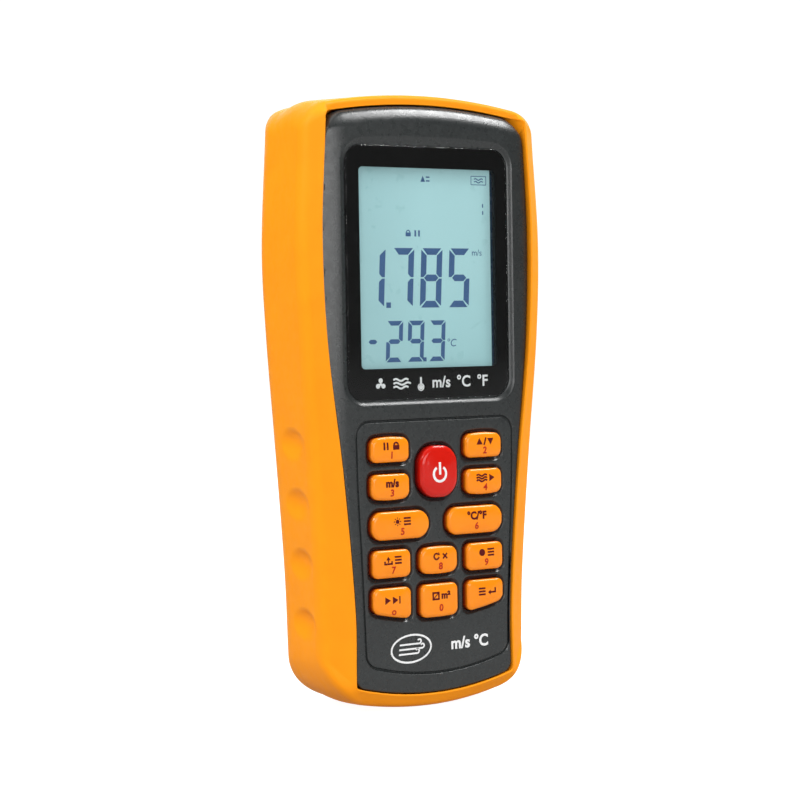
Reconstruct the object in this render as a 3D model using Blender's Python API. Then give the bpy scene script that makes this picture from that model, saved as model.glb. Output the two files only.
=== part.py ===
"""Handheld weather meter: an orange rear tub, a dark front cover with a display and thirteen keys,
and everything that they hold.

Sizes are in millimetres until point() turns them into metres. The meter stands upright: x runs
across it, depth runs from the front cover's face to the back, and height runs up from its bottom
end. The origin is the middle of the bottom of its bounding box.
"""

import math
from bisect import bisect_right

import bmesh
import bpy
from mathutils import Matrix, Vector

MM = 0.001
GAP = 0.3  # between pieces that touch on the real meter

# Case
CASE_HEIGHT = 179.5
CASE_DEPTH = 38.0
WALL = 2.6
DRAFT = 0.07  # how much the side walls close towards the back, per unit of depth
RIDGE_DEPTH = 6.0  # where the case is widest
BACK_FILLET = 15.0
CROWN_SHARE = 0.4  # the top draws in this much of what the sides do
BASE_SHARE = 0.4
CROWN_RADIUS = 187.0
BASE_RADIUS = 122.0
CASE_SIDE = ((15, 35.6), (40, 36.4), (80, 39.1), (110, 41.3), (135, 42.2), (168, 40.4))
CASE_TOP_REACH = 9.0  # how far a corner's rounding reaches along both of its edges
CASE_BASE_REACH = 12.0

# Front cover
FACE_CROWN = 176.2
FACE_CROWN_RADIUS = 187.0
FACE_BASE = 4.5
FACE_BASE_RADIUS = 98.0
FACE_SIDE = ((10, 27.4), (30, 27.4), (69, 30.6), (108, 35.2), (139, 36.3), (168, 34.8))
FACE_TOP_REACH = 6.5
FACE_BASE_REACH = 2.5
FACE_THICKNESS = 2.8
FACE_RIB_DEPTH = 5.0
FACE_RIB_WIDTH = 1.3
ROLL_START = 171.0  # the front rolls back above this height
ROLL_END = 178.5
ROLL_BACK = 2.6
RIM_PROUD = 0.5  # how far the orange rim stands in front of the cover
RIM_LIP = 0.5  # flat width of the rim's inner edge
BEVEL_SLOPE = 0.5  # depth that the rim's bevel gains per unit of its width
RIDGE_ROUND = 2.2  # depth over which the bevel turns into the side wall

# Display
LENS_HALF_WIDTH = 28.5
LENS_LOW, LENS_HIGH = 90.7, 164.2
LENS_REACH = 5.5
LENS_FACE, LENS_BACK = 0.2, 1.1
LEDGE_DEPTH = 2.0  # the ledge that the lens is glued to
WINDOW_HALF_WIDTH = 23.6
WINDOW_LOW, WINDOW_HIGH = 99.8, 158.0
LCD_HALF_WIDTH = 25.8
LCD_LOW, LCD_HIGH = 96.8, 160.5
LCD_DEPTHS = (3.1, 4.9)
BACKLIGHT_DEPTHS = (5.2, 8.4)
HOLDER_WALL = 1.9
ZEBRA_HEIGHT = 2.0

# Keypad
KEY_GAP = 0.35
KEY_PROUD = 1.5
POWER_PROUD = 2.5
KEY_CROWN = 0.35  # how much a key's top bulges between its edges
KEY_FLANGE = 0.8
KEY_FLANGE_DEPTHS = (3.1, 3.9)
COLUMN = 16.5  # from one key column to the next
KEYPAD_X = 1.0  # the keypad sits a little right of the middle
KEY_WIDTH = 13.1
WIDE_KEY_WIDTH = 19.8
WIDE_KEY_X = 13.15
BOTTOM_ROW_BASE, BOTTOM_ROW_RADIUS = 26.6, 89.0  # one arc runs along the bottom row
MAT_DEPTHS = (7.6, 8.7)
MAT_HALF_WIDTH = 25.2
MAT_LOW, MAT_HIGH = 25.0, 82.0
DOME_TOP = 5.2
DOME_RADII = (2.4, 3.2)

# Inside
BOARD_DEPTHS = (9.0, 10.6)
BOARD_LOW, BOARD_HIGH = 20.2, 165.0
BOARD_INSET = 2.2  # from the cover's edge to the board's
BOARD_POSTS = ((31.2, 155.5), (16.0, 22.8))  # x to either side, and height
POST_RADIUS = 2.2
CASE_BOSSES = ((26.5, 169.0), (21.5, 15.5))
BOSS_RADIUS = 3.2
BOSS_JOINT = 28.0  # where the cover's bosses meet the tub's

# Screws: those of the case are driven from the back
SCREW_RADIUS = 1.4
SCREW_HEAD_RADIUS = 2.8
SCREW_HEAD = 2.0
SCREW_SEAT = 31.5
SCREW_TIP = 20.0
BOARD_SCREW_RADIUS = 0.9
BOARD_SCREW_HEAD_RADIUS = 2.0
BOARD_SCREW_HEAD = 1.3
BOARD_SCREW_TIP = 5.0

# Battery bay and door, in the back
BAY_HALF_WIDTH = 14.5
BAY_LOW, BAY_HIGH = 19.5, 77.5
BAY_FLOOR = 16.7
BAY_WALL = 1.6
DOOR_HALF_WIDTH = 17.5
DOOR_LOW, DOOR_HIGH = 16.5, 80.5
DOOR_THICKNESS = 1.8
DOOR_SEAT = 2.4
DOOR_REACH = 3.0
BATTERY_SIZE = (26.5, 17.2, 46.4)
BATTERY_TERMINAL = 2.1
SNAP_SIZE = (25.0, 14.0, 4.4)
BATTERY_BACK = CASE_DEPTH - DOOR_THICKNESS - 1.7
BATTERY_LOW = BAY_LOW + 0.5
BATTERY_TOP = BATTERY_LOW + BATTERY_SIZE[2]
TERMINAL_X = 6.35
TERMINAL_RADIUS = 3.0
LEAD_RADIUS = 0.7
LEAD_X = 2.5
LEAD_STEPS = 16

# Sockets, in the top and the right side, and the tripod insert in the back
SENSOR_DEPTH = 17.0
SENSOR_RADIUS = 5.4
SENSOR_BORE = 4.2
SENSOR_LOW, SENSOR_FLOOR, SENSOR_HIGH = 163.0, 168.5, 178.2
PIN_CIRCLE, PIN_RADIUS, PIN_LENGTH = 2.3, 0.45, 3.0
USB_HEIGHT = 112.0
USB_SIZE = (9.0, 4.0, 7.6)  # across, deep, high
USB_MOUTH = 40.2
INSERT_HEIGHT = 110.0
INSERT_RADIUS = 5.0
INSERT_BORE = 3.15
INSERT_LENGTH = 9.0

# Finger scallops in both side walls
SCALLOP_HEIGHTS = (78.0, 60.5, 43.0, 25.5)
SCALLOP_DEPTH = 15.5
SCALLOP_SIZE = (1.9, 8.0, 6.6)  # half sizes across the wall, along its depth and up it
SCALLOP_TILT = math.radians(8)

FRONT_Y = -(CASE_DEPTH - POWER_PROUD) / 2
BACK_FILLET_START = CASE_DEPTH - BACK_FILLET
BACK_INSIDE = CASE_DEPTH - WALL
INSERT_START = CASE_DEPTH - INSERT_LENGTH

TOP_STEPS, CORNER_STEPS, SIDE_STEPS = 4, 4, 9  # points along a large outline
LARGE_STEPS = (TOP_STEPS, CORNER_STEPS, SIDE_STEPS)
KEY_STEPS = 3  # points along a key's edge and round its corner
FILLET_STEPS = 5
ROUND = 16  # sides of a small round shape

ORANGE = (1.0, 0.36, 0.02)
KEY_ORANGE = (1.0, 0.33, 0.03)
RED = (0.75, 0.01, 0.01)
DARK_GREY = (0.045, 0.05, 0.05)
BLACK = (0.01, 0.01, 0.01)
BOARD_GREEN = (0.02, 0.2, 0.08)
STEEL = (0.6, 0.6, 0.6)
BRASS = (0.7, 0.5, 0.2)


def point(x, depth, height):
    """A place on the meter, in metres."""
    return Vector((x, FRONT_Y + depth, height)) * MM


# Outlines


def smooth(points, at):
    """The value at a place on a smooth curve through (place, value) points, straight past its ends."""
    places = [place for place, _ in points]
    values = [value for _, value in points]
    last = len(points) - 1
    slopes = [
        (values[min(i + 1, last)] - values[max(i - 1, 0)])
        / (places[min(i + 1, last)] - places[max(i - 1, 0)])
        for i in range(last + 1)
    ]
    if at <= places[0]:
        return values[0] + slopes[0] * (at - places[0])
    if at >= places[last]:
        return values[last] + slopes[last] * (at - places[last])
    i = bisect_right(places, at) - 1
    span = places[i + 1] - places[i]
    t = (at - places[i]) / span
    start = values[i] * (1 + 2 * t) * (1 - t) ** 2 + slopes[i] * span * t * (1 - t) ** 2
    end = values[i + 1] * t * t * (3 - 2 * t) + slopes[i + 1] * span * t * t * (t - 1)
    return start + end


def bowed(peak, radius, x):
    """The height at x of an arc whose peak is at x = 0. A negative radius bows it downwards."""
    return peak - math.copysign(abs(radius) - math.sqrt(radius * radius - x * x), radius)


def corner_at(side, edge):
    """Where the side curve meets the top or base curve."""
    height = edge(0.0)
    for _ in range(12):
        x = side(height)
        height = edge(x)
    return x, height


def rounded(before, corner, after, steps):
    """Points round a corner, from one tangent point to the other, both included."""
    start, sharp, end = Vector(before), Vector(corner), Vector(after)
    near_start = start.lerp(sharp, 0.55)
    near_end = end.lerp(sharp, 0.55)
    found = []
    for i in range(steps + 1):
        t = i / steps
        weights = ((1 - t) ** 3, 3 * t * (1 - t) ** 2, 3 * t * t * (1 - t), t**3)
        parts = (start, near_start, near_end, end)
        found.append(sum((w * p for w, p in zip(weights, parts)), Vector((0, 0))))
    return found


def half_outline(side, top, base, top_reach, base_reach, steps):
    """Points (x, height) down one side, from the middle of the top to the middle of the base."""
    edge_steps, corner_steps, side_steps = steps
    top_x, top_height = corner_at(side, top)
    base_x, base_height = corner_at(side, base)
    on_top = (top_x - top_reach, top(top_x - top_reach))
    below_top = top_height - top_reach
    on_base = (base_x - base_reach, base(base_x - base_reach))
    above_base = base_height + base_reach
    found = [Vector((on_top[0] * i / edge_steps, 0)) for i in range(edge_steps)]
    found = [Vector((p.x, top(p.x))) for p in found]
    found += rounded(on_top, (top_x, top_height), (side(below_top), below_top), corner_steps)
    for i in range(1, side_steps):
        height = below_top + (above_base - below_top) * i / side_steps
        found.append(Vector((side(height), height)))
    turn = (side(above_base), above_base)
    found += rounded(turn, (base_x, base_height), on_base, corner_steps)
    for i in range(1, edge_steps + 1):
        x = on_base[0] * (1 - i / edge_steps)
        found.append(Vector((x, base(x))))
    return found


def closed(right, left=None):
    """A whole outline from its right half, and from the mirrored left half if that one differs."""
    left = left or right
    return right + [Vector((-p.x, p.y)) for p in reversed(left[1:-1])]


def shape(side, crown, crown_radius, base, base_radius, reaches, grow):
    half = half_outline(
        lambda height: smooth(side, height) + grow,
        lambda x: bowed(crown, crown_radius, x),
        lambda x: bowed(base, -base_radius, x),
        max(reaches[0] + 0.8 * grow, 2.0),
        max(reaches[1] + 0.8 * grow, 2.0),
        LARGE_STEPS,
    )
    return closed(half)


def case_outline(grow, drawn_in=0.0):
    """The case's outline, grown all round and then drawn in, less at its ends than at its sides."""
    crown = CASE_HEIGHT + grow - CROWN_SHARE * drawn_in
    base = BASE_SHARE * drawn_in - grow
    reaches = (CASE_TOP_REACH, CASE_BASE_REACH)
    return shape(CASE_SIDE, crown, CROWN_RADIUS, base, BASE_RADIUS, reaches, grow - drawn_in)


def face_outline(grow, crown=FACE_CROWN):
    reaches = (FACE_TOP_REACH, FACE_BASE_REACH)
    radii = (FACE_CROWN_RADIUS, FACE_BASE_RADIUS)
    base = FACE_BASE - grow
    return shape(FACE_SIDE, crown + grow, radii[0], base, radii[1], reaches, grow)


def box_outline(half_width, low, high, reach, grow=0.0):
    """A rectangle with rounded corners."""
    flat = 1e4
    half = half_outline(
        lambda height: half_width + grow,
        lambda x: bowed(high + grow, flat, x),
        lambda x: bowed(low - grow, -flat, x),
        reach + grow,
        reach + grow,
        (1, CORNER_STEPS, 1),
    )
    return closed(half)


def roll(height):
    """How far the front has rolled back at a height."""
    t = min(max((height - ROLL_START) / (ROLL_END - ROLL_START), 0.0), 1.0)
    return ROLL_BACK * t * t * (3 - 2 * t)


# Meshes


def ring(outline, depth, rolled=False):
    return [point(p.x, depth + (roll(p.y) if rolled else 0.0), p.y) for p in outline]


def loft(bm, rings):
    """A closed body through rings of the same number of points, capped at both ends."""
    rows = [[bm.verts.new(place) for place in places] for places in rings]
    count = len(rows[0])
    for row, after in zip(rows, rows[1:]):
        for i in range(count):
            j = (i + 1) % count
            bm.faces.new((row[i], row[j], after[j], after[i]))
    bm.faces.new(rows[0][::-1])
    bm.faces.new(rows[-1])


def add_prism(bm, outline, start, end):
    loft(bm, [ring(outline, start), ring(outline, end)])


def add_box(bm, xs, depths, heights):
    corners = ((xs[0], heights[0]), (xs[1], heights[0]), (xs[1], heights[1]), (xs[0], heights[1]))
    add_prism(bm, [Vector(corner) for corner in corners], *depths)


def circle(x, height, radius, sides=ROUND):
    turns = (2 * math.pi * (i + 0.5) / sides for i in range(sides))
    return [Vector((x + radius * math.cos(a), height + radius * math.sin(a))) for a in turns]


def add_rod(bm, x, height, depths, radius, sides=ROUND):
    """A round rod along the meter's depth."""
    add_prism(bm, circle(x, height, radius, sides), *depths)


def both_sides(places):
    return [(sign * x, height) for x, height in places for sign in (-1, 1)]


def finished(bm):
    bmesh.ops.recalc_face_normals(bm, faces=bm.faces)
    return bm


def finish(name, colour, roughness, metallic=0.0):
    material = bpy.data.materials.new(name)
    material.use_nodes = True
    shader = material.node_tree.nodes["Principled BSDF"]
    shader.inputs["Base Color"].default_value = (*colour, 1.0)
    shader.inputs["Roughness"].default_value = roughness
    shader.inputs["Metallic"].default_value = metallic
    return material


def put(name, bm, look, location=(0.0, 0.0, 0.0)):
    """Makes a named object, with its own material, of a mesh that lies round its location."""
    mesh = bpy.data.meshes.new(name)
    finished(bm).to_mesh(mesh)
    bm.free()
    mesh.shade_smooth()
    mesh.set_sharp_from_angle(angle=math.radians(35))
    mesh.materials.append(finish(name, *look))
    piece = bpy.data.objects.new(name, mesh)
    piece.location = location
    bpy.context.scene.collection.objects.link(piece)
    return piece


def combine(piece, operation, name, bm):
    """Joins a helper mesh to a piece, or cuts it away, with a Boolean modifier."""
    helper = put(f"{piece.name}_{name}", bm, (BLACK, 0.5))
    helper.hide_render = True
    helper.display_type = "WIRE"
    modifier = piece.modifiers.new(name, "BOOLEAN")
    modifier.operation = operation
    modifier.solver = "EXACT"
    modifier.object = helper


# Case


def make_rear_tub():
    """Orange side walls, rim and back in one moulding, open at the front."""
    straight = BACK_FILLET_START - RIDGE_DEPTH
    drawn_in = DRAFT * straight
    inner_fillet = BACK_FILLET - WALL
    rings = []
    for i in range(FILLET_STEPS, -1, -1):
        turn = math.pi / 2 * i / FILLET_STEPS
        inset = drawn_in + inner_fillet * (1 - math.cos(turn))
        depth = BACK_FILLET_START + inner_fillet * math.sin(turn)
        rings.append(ring(case_outline(-WALL, inset), depth))
    rings.append(ring(case_outline(-WALL - 0.2), RIDGE_DEPTH + 1.5))
    rings.append(ring(face_outline(GAP), 3.4, rolled=True))
    rings.append(ring(face_outline(GAP), 0.0, rolled=True))
    rings += rim_rings()
    for i in range(FILLET_STEPS + 1):
        turn = math.pi / 2 * i / FILLET_STEPS
        inset = drawn_in + BACK_FILLET * (1 - math.cos(turn))
        depth = BACK_FILLET_START + BACK_FILLET * math.sin(turn)
        rings.append(ring(case_outline(0.0, inset), depth))
    bm = bmesh.new()
    loft(bm, rings)
    tub = put("rear_tub", bm, (ORANGE, 0.35))
    combine(tub, "UNION", "bosses", tub_bosses())
    combine(tub, "UNION", "bay", tub_bay())
    combine(tub, "DIFFERENCE", "hollows", tub_hollows())
    combine(tub, "DIFFERENCE", "seats", tub_seats())
    combine(tub, "DIFFERENCE", "scallops", tub_scallops())


def rim_rings():
    """The rim's bevel, from its lip beside the cover out to the ridge and round it. The ridge lies
    deeper where the bevel is wider."""
    lip = face_outline(GAP + RIM_LIP)
    outer = case_outline(0.0)
    widths = [(far - near).length for near, far in zip(lip, outer)]
    depths = [roll(near.y) - RIM_PROUD + BEVEL_SLOPE * width for near, width in zip(lip, widths)]
    bevelled = []
    for near, far, depth, width in zip(lip, outer, depths, widths):
        inner = near.lerp(far, 1 - RIDGE_ROUND / (width + RIDGE_ROUND))
        start = roll(near.y) - RIM_PROUD
        share = (inner - near).length / width
        bevelled.append(point(inner.x, start + (depth - start) * share, inner.y))
    rounding = [point(p.x, d + 0.25 * RIDGE_ROUND, p.y) for p, d in zip(case_outline(-0.3), depths)]
    ridge = [point(p.x, d + RIDGE_ROUND, p.y) for p, d in zip(outer, depths)]
    return [ring(lip, -RIM_PROUD, rolled=True), bevelled, rounding, ridge]


def tub_bosses():
    bm = bmesh.new()
    for x, height in both_sides(CASE_BOSSES):
        add_rod(bm, x, height, (BOSS_JOINT + GAP, BACK_INSIDE + 1.0), BOSS_RADIUS + 0.6)
    start = INSERT_START - GAP - BAY_WALL
    add_rod(bm, 0.0, INSERT_HEIGHT, (start, BACK_INSIDE + 1.0), INSERT_RADIUS + 2.4)
    return bm


def tub_bay():
    """The battery's walls, and the thicker frame that the door lies on."""
    bm = bmesh.new()
    half = BAY_HALF_WIDTH + BAY_WALL
    frame = DOOR_HALF_WIDTH + DOOR_SEAT
    low, high = DOOR_LOW - DOOR_SEAT, DOOR_HIGH + DOOR_SEAT
    walls = box_outline(half, BAY_LOW - BAY_WALL, BAY_HIGH + BAY_WALL, 2.0)
    seat = box_outline(frame, low, high, DOOR_REACH + 1.0)
    step = CASE_DEPTH - DOOR_THICKNESS - DOOR_SEAT
    rings = [ring(walls, BAY_FLOOR - BAY_WALL), ring(walls, step)]
    rings += [ring(seat, step), ring(seat, BACK_INSIDE + 1.0)]
    loft(bm, rings)
    return bm


def tub_hollows():
    """The battery's space and the holes for the screws, the sockets and the insert."""
    bm = bmesh.new()
    bay = box_outline(BAY_HALF_WIDTH, BAY_LOW, BAY_HIGH, 2.0)
    add_prism(bm, bay, BAY_FLOOR, CASE_DEPTH + 1.0)
    for x, height in both_sides(CASE_BOSSES):
        add_rod(bm, x, height, (SCREW_SEAT, CASE_DEPTH + 1.0), SCREW_HEAD_RADIUS + GAP)
    add_rod(bm, 0.0, INSERT_HEIGHT, (INSERT_START - GAP, CASE_DEPTH + 1.0), INSERT_RADIUS + GAP)
    add_upright(bm, (SENSOR_LOW + 4.0, CASE_HEIGHT + 2.0), SENSOR_RADIUS + GAP)
    half_high = USB_SIZE[2] / 2 + GAP + 0.2
    depths = (BOARD_DEPTHS[1] + GAP, BOARD_DEPTHS[1] + USB_SIZE[1] + 3 * GAP)
    heights = (USB_HEIGHT - half_high, USB_HEIGHT + half_high)
    add_box(bm, (USB_MOUTH - USB_SIZE[0], USB_MOUTH + 4.0), depths, heights)
    return bm


def tub_seats():
    """The door's recess, the screws' clearance holes and the way through for the battery leads."""
    bm = bmesh.new()
    recess = box_outline(DOOR_HALF_WIDTH, DOOR_LOW, DOOR_HIGH, DOOR_REACH, GAP)
    add_prism(bm, recess, CASE_DEPTH - DOOR_THICKNESS - GAP, CASE_DEPTH + 2.0)
    for x, height in both_sides(CASE_BOSSES):
        add_rod(bm, x, height, (BOSS_JOINT - 1.0, SCREW_SEAT + 0.5), SCREW_RADIUS + GAP)
    slot = (BAY_HIGH - 11.0, BAY_HIGH - 3.0)
    add_box(bm, (-6.0, 6.0), (BAY_FLOOR - BAY_WALL - 1.0, BAY_FLOOR + 1.0), slot)
    return bm


def tub_scallops():
    """Shallow finger grips: tilted ellipsoids, deeper at their upper edge."""
    bm = bmesh.new()
    for height in SCALLOP_HEIGHTS:
        wall = smooth(CASE_SIDE, height) - DRAFT * (SCALLOP_DEPTH - RIDGE_DEPTH)
        for sign in (-1, 1):
            tilt = Matrix.Rotation(-sign * SCALLOP_TILT, 4, "Y")
            size = Matrix.Diagonal((*(s * MM for s in SCALLOP_SIZE), 1.0))
            place = Matrix.Translation(point(sign * (wall + 0.9), SCALLOP_DEPTH, height))
            matrix = place @ tilt @ size
            bmesh.ops.create_uvsphere(bm, u_segments=16, v_segments=8, radius=1.0, matrix=matrix)
    return bm


def make_front_cover():
    """The dark face: display ledge, key openings, screw bosses and board posts."""
    bm = bmesh.new()
    rib = -FACE_RIB_WIDTH
    rings = [
        ring(face_outline(rib), FACE_THICKNESS),
        ring(face_outline(rib), FACE_RIB_DEPTH),
        ring(face_outline(0.0), FACE_RIB_DEPTH),
        ring(face_outline(0.0), 0.4, rolled=True),
        ring(face_outline(-0.4), 0.0, rolled=True),
        ring(face_outline(-0.8, FACE_CROWN - 0.7), 0.0, rolled=True),
        ring(face_outline(-1.2, FACE_CROWN - 1.7), 0.0, rolled=True),
        ring(face_outline(-1.6, FACE_CROWN - 2.8), 0.0, rolled=True),
        ring(face_outline(-2.0, ROLL_START + 1.0), 0.0),
    ]
    loft(bm, rings)
    cover = put("front_cover", bm, (DARK_GREY, 0.5))
    combine(cover, "UNION", "bosses", cover_bosses())
    combine(cover, "DIFFERENCE", "pocket", lens_pocket())
    combine(cover, "DIFFERENCE", "openings", cover_openings())


def cover_bosses():
    bm = bmesh.new()
    for x, height in both_sides(CASE_BOSSES):
        add_rod(bm, x, height, (FACE_THICKNESS - 0.8, BOSS_JOINT), BOSS_RADIUS)
    for x, height in both_sides(BOARD_POSTS):
        add_rod(bm, x, height, (FACE_THICKNESS - 0.8, BOARD_DEPTHS[0] - GAP), POST_RADIUS)
    return bm


def lens_pocket():
    bm = bmesh.new()
    outline = box_outline(LENS_HALF_WIDTH, LENS_LOW, LENS_HIGH, LENS_REACH, GAP)
    add_prism(bm, outline, -1.0, LEDGE_DEPTH)
    return bm


def cover_openings():
    bm = bmesh.new()
    window = box_outline(WINDOW_HALF_WIDTH, WINDOW_LOW, WINDOW_HIGH, 1.5, 0.4)
    add_prism(bm, window, LEDGE_DEPTH - 1.0, FACE_THICKNESS + 1.0)
    for key in KEYS:
        outline = key_outline(key, KEY_GAP)
        add_prism(bm, outline, -1.0, FACE_THICKNESS + 1.0)
    for x, height in both_sides(CASE_BOSSES):
        add_rod(bm, x, height, (SCREW_TIP - 2.0, BOSS_JOINT + 1.0), SCREW_RADIUS + GAP)
    for x, height in both_sides(BOARD_POSTS):
        add_rod(bm, x, height, (BOARD_SCREW_TIP - 1.0, BOARD_DEPTHS[0]), BOARD_SCREW_RADIUS + GAP)
    return bm


# Keys

KEY_ROWS = {  # low and high edge of each row
    "first": (72.8, 80.2),
    "second": (61.8, 69.4),
    "wide": (50.3, 58.5),
    "fourth": (39.3, 47.4),
    "last": (BOTTOM_ROW_BASE, 36.4),
}


class Key:
    """A key's name, place and outline. x is measured from the keypad's middle, and the corner
    reaches are those away from the middle and towards it."""

    def __init__(self, name, x, row, width=KEY_WIDTH, top_bow=0.0, base_bow=0.0, side_bow=0.0,
                 outer=2.0, inner=2.0, proud=KEY_PROUD, colour=KEY_ORANGE):
        self.name, self.x, self.width = name, KEYPAD_X + x, width
        self.low, self.high = KEY_ROWS[row] if row in KEY_ROWS else row
        self.top_bow, self.base_bow, self.side_bow = top_bow, base_bow, side_bow
        self.reaches = (outer, inner) if x < 0 else (inner, outer)  # left and right
        self.follows_arc = row == "last"
        self.proud, self.colour = proud, colour
        self.middle = (self.low + self.high) / 2


POWER_ROW = (61.8, 77.0)
KEYS = [
    Key("power_key", 0.0, POWER_ROW, 13.2, 1.1, 1.1, 0.5, 5.0, 5.0, POWER_PROUD, RED),
    Key("hold_key", -COLUMN, "first", top_bow=0.6),
    Key("max_min_key", COLUMN, "first", top_bow=0.6),
    Key("unit_key", -COLUMN, "second", base_bow=0.6),
    Key("flow_key", COLUMN, "second", base_bow=0.6),
    Key("light_key", -WIDE_KEY_X, "wide", WIDE_KEY_WIDTH, side_bow=0.5, outer=2.8, inner=3.5),
    Key("degree_key", WIDE_KEY_X, "wide", WIDE_KEY_WIDTH, side_bow=0.5, outer=3.2, inner=3.0),
    Key("read_key", -COLUMN, "fourth"),
    Key("clear_key", 0.0, "fourth", top_bow=0.5, base_bow=0.5, side_bow=0.3),
    Key("record_key", COLUMN, "fourth"),
    Key("start_key", -COLUMN, "last"),
    Key("area_key", 0.0, "last"),
    Key("enter_key", COLUMN, "last"),
]


def key_edge(peak, bow, half_width, x):
    """A key's upper edge: a parabola, bow higher in the middle than at its ends."""
    return peak - bow * (x / half_width) ** 2


def key_half(key, sign, grow, reach):
    """One half of a key's outline, with x measured from the key's middle."""
    half = key.width / 2
    half_height = (key.high - key.low) / 2

    def side(height):
        return half + grow - key.side_bow * ((height - key.middle) / half_height) ** 2

    def top(x):
        return key_edge(key.high + grow, key.top_bow, half, x)

    def base(x):
        if key.follows_arc:
            return bowed(key.low - grow, -BOTTOM_ROW_RADIUS, key.x + sign * x)
        return -key_edge(grow - key.low, key.base_bow, half, x)

    reach = max(reach + 0.6 * grow, 0.8)
    return half_outline(side, top, base, reach, reach, (1, KEY_STEPS, 2))


def key_outline(key, grow):
    left = key_half(key, -1, grow, key.reaches[0])
    right = key_half(key, 1, grow, key.reaches[1])
    return [Vector((key.x + p.x, p.y)) for p in closed(right, left)]


def make_key(key):
    """A cap with a flange under the cover. Its origin is the middle of its place on the cover."""
    bottom, flange = KEY_FLANGE_DEPTHS[::-1]
    rings = [
        ring(key_outline(key, KEY_FLANGE), bottom),
        ring(key_outline(key, KEY_FLANGE), flange),
        ring(key_outline(key, 0.0), flange),
        ring(key_outline(key, 0.0), 0.8 - key.proud),
        ring(key_outline(key, -0.35), KEY_CROWN - key.proud + 0.1),
        ring(key_outline(key, -1.3), 0.12 - key.proud),
        ring(key_outline(key, -2.2), -key.proud),
    ]
    bm = bmesh.new()
    loft(bm, rings)
    place = point(key.x, 0.0, key.middle)
    bmesh.ops.translate(bm, verts=bm.verts, vec=-place)
    put(key.name, bm, (key.colour, 0.2), place)


def make_keypad_mat():
    """The silicone sheet with one dome under each key."""
    bm = bmesh.new()
    outline = box_outline(MAT_HALF_WIDTH, MAT_LOW, MAT_HIGH, 3.0)
    loft(bm, [ring(outline, MAT_DEPTHS[0]), ring(outline, MAT_DEPTHS[1])])
    mat = put("keypad_mat", bm, ((0.5, 0.5, 0.48), 0.7))
    bm = bmesh.new()
    for key in KEYS:
        height = key.middle
        tip = ring(circle(key.x, height, DOME_RADII[0], 10), DOME_TOP)
        foot = ring(circle(key.x, height, DOME_RADII[1], 10), MAT_DEPTHS[0] + 0.5)
        loft(bm, [tip, foot])
    combine(mat, "UNION", "domes", bm)


# Display


def make_display():
    bm = bmesh.new()
    lens = box_outline(LENS_HALF_WIDTH, LENS_LOW, LENS_HIGH, LENS_REACH)
    edge = box_outline(LENS_HALF_WIDTH, LENS_LOW, LENS_HIGH, LENS_REACH, -0.3)
    loft(bm, [ring(lens, LENS_BACK), ring(lens, LENS_FACE + 0.2), ring(edge, LENS_FACE)])
    put("display_lens", bm, ((0.05, 0.05, 0.05), 0.05))

    bm = bmesh.new()
    add_prism(bm, edge, LENS_BACK + 0.25, LEDGE_DEPTH - 0.25)
    gasket = put("lens_gasket", bm, (BLACK, 0.6))
    bm = bmesh.new()
    window = box_outline(WINDOW_HALF_WIDTH, WINDOW_LOW, WINDOW_HIGH, 1.5)
    add_prism(bm, window, 0.0, FACE_THICKNESS)
    combine(gasket, "DIFFERENCE", "window", bm)

    across = (-LCD_HALF_WIDTH, LCD_HALF_WIDTH)
    bm = bmesh.new()
    add_box(bm, across, LCD_DEPTHS, (LCD_LOW, LCD_HIGH))
    put("lcd_panel", bm, ((0.37, 0.6, 0.62), 0.2))

    bm = bmesh.new()
    above_zebra = LCD_LOW + ZEBRA_HEIGHT + GAP
    add_box(bm, across, BACKLIGHT_DEPTHS, (above_zebra, LCD_HIGH))
    put("lcd_backlight", bm, ((0.8, 0.85, 0.85), 0.4))

    bm = bmesh.new()
    depths = (LCD_DEPTHS[1] + GAP, BOARD_DEPTHS[0] - GAP)
    add_box(bm, across, depths, (LCD_LOW, LCD_LOW + ZEBRA_HEIGHT))
    put("zebra_strip", bm, ((0.2, 0.1, 0.1), 0.6))

    bm = bmesh.new()
    outer = box_outline(LCD_HALF_WIDTH, LCD_LOW, LCD_HIGH, 1.0, HOLDER_WALL + GAP)
    add_prism(bm, outer, LCD_DEPTHS[0], BACKLIGHT_DEPTHS[1])
    holder = put("lcd_holder", bm, ((0.8, 0.8, 0.78), 0.5))
    bm = bmesh.new()
    inner = box_outline(LCD_HALF_WIDTH, LCD_LOW, LCD_HIGH, 0.4, GAP)
    add_prism(bm, inner, LCD_DEPTHS[0] - 1.0, BACKLIGHT_DEPTHS[1] + 1.0)
    combine(holder, "DIFFERENCE", "frame", bm)


# Board and what is on it


def make_board():
    bm = bmesh.new()
    half = half_outline(
        lambda height: smooth(FACE_SIDE, height) - BOARD_INSET,
        lambda x: BOARD_HIGH,
        lambda x: BOARD_LOW,
        3.0,
        3.0,
        (1, 2, 6),
    )
    add_prism(bm, closed(half), *BOARD_DEPTHS)
    board = put("main_board", bm, (BOARD_GREEN, 0.4))
    bm = bmesh.new()
    for x, height in both_sides(BOARD_POSTS):
        depths = (BOARD_DEPTHS[0] - 1.0, BOARD_DEPTHS[1] + 1.0)
        add_rod(bm, x, height, depths, BOARD_SCREW_RADIUS + GAP)
    combine(board, "DIFFERENCE", "screw_holes", bm)

    start = BOARD_DEPTHS[1] + GAP
    bm = bmesh.new()
    add_box(bm, (-7.0, 7.0), (start, start + 1.5), (128.0, 142.0))
    put("processor", bm, (BLACK, 0.4))

    bm = bmesh.new()
    add_rod(bm, -20.0, 100.0, (start, start + 5.5), 6.0, 24)
    put("buzzer", bm, (BLACK, 0.5))

    bm = bmesh.new()
    add_rod(bm, 16.0, 96.0, (start, start + 8.0), 3.2)
    put("capacitor", bm, (STEEL, 0.3, 1.0))


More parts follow.
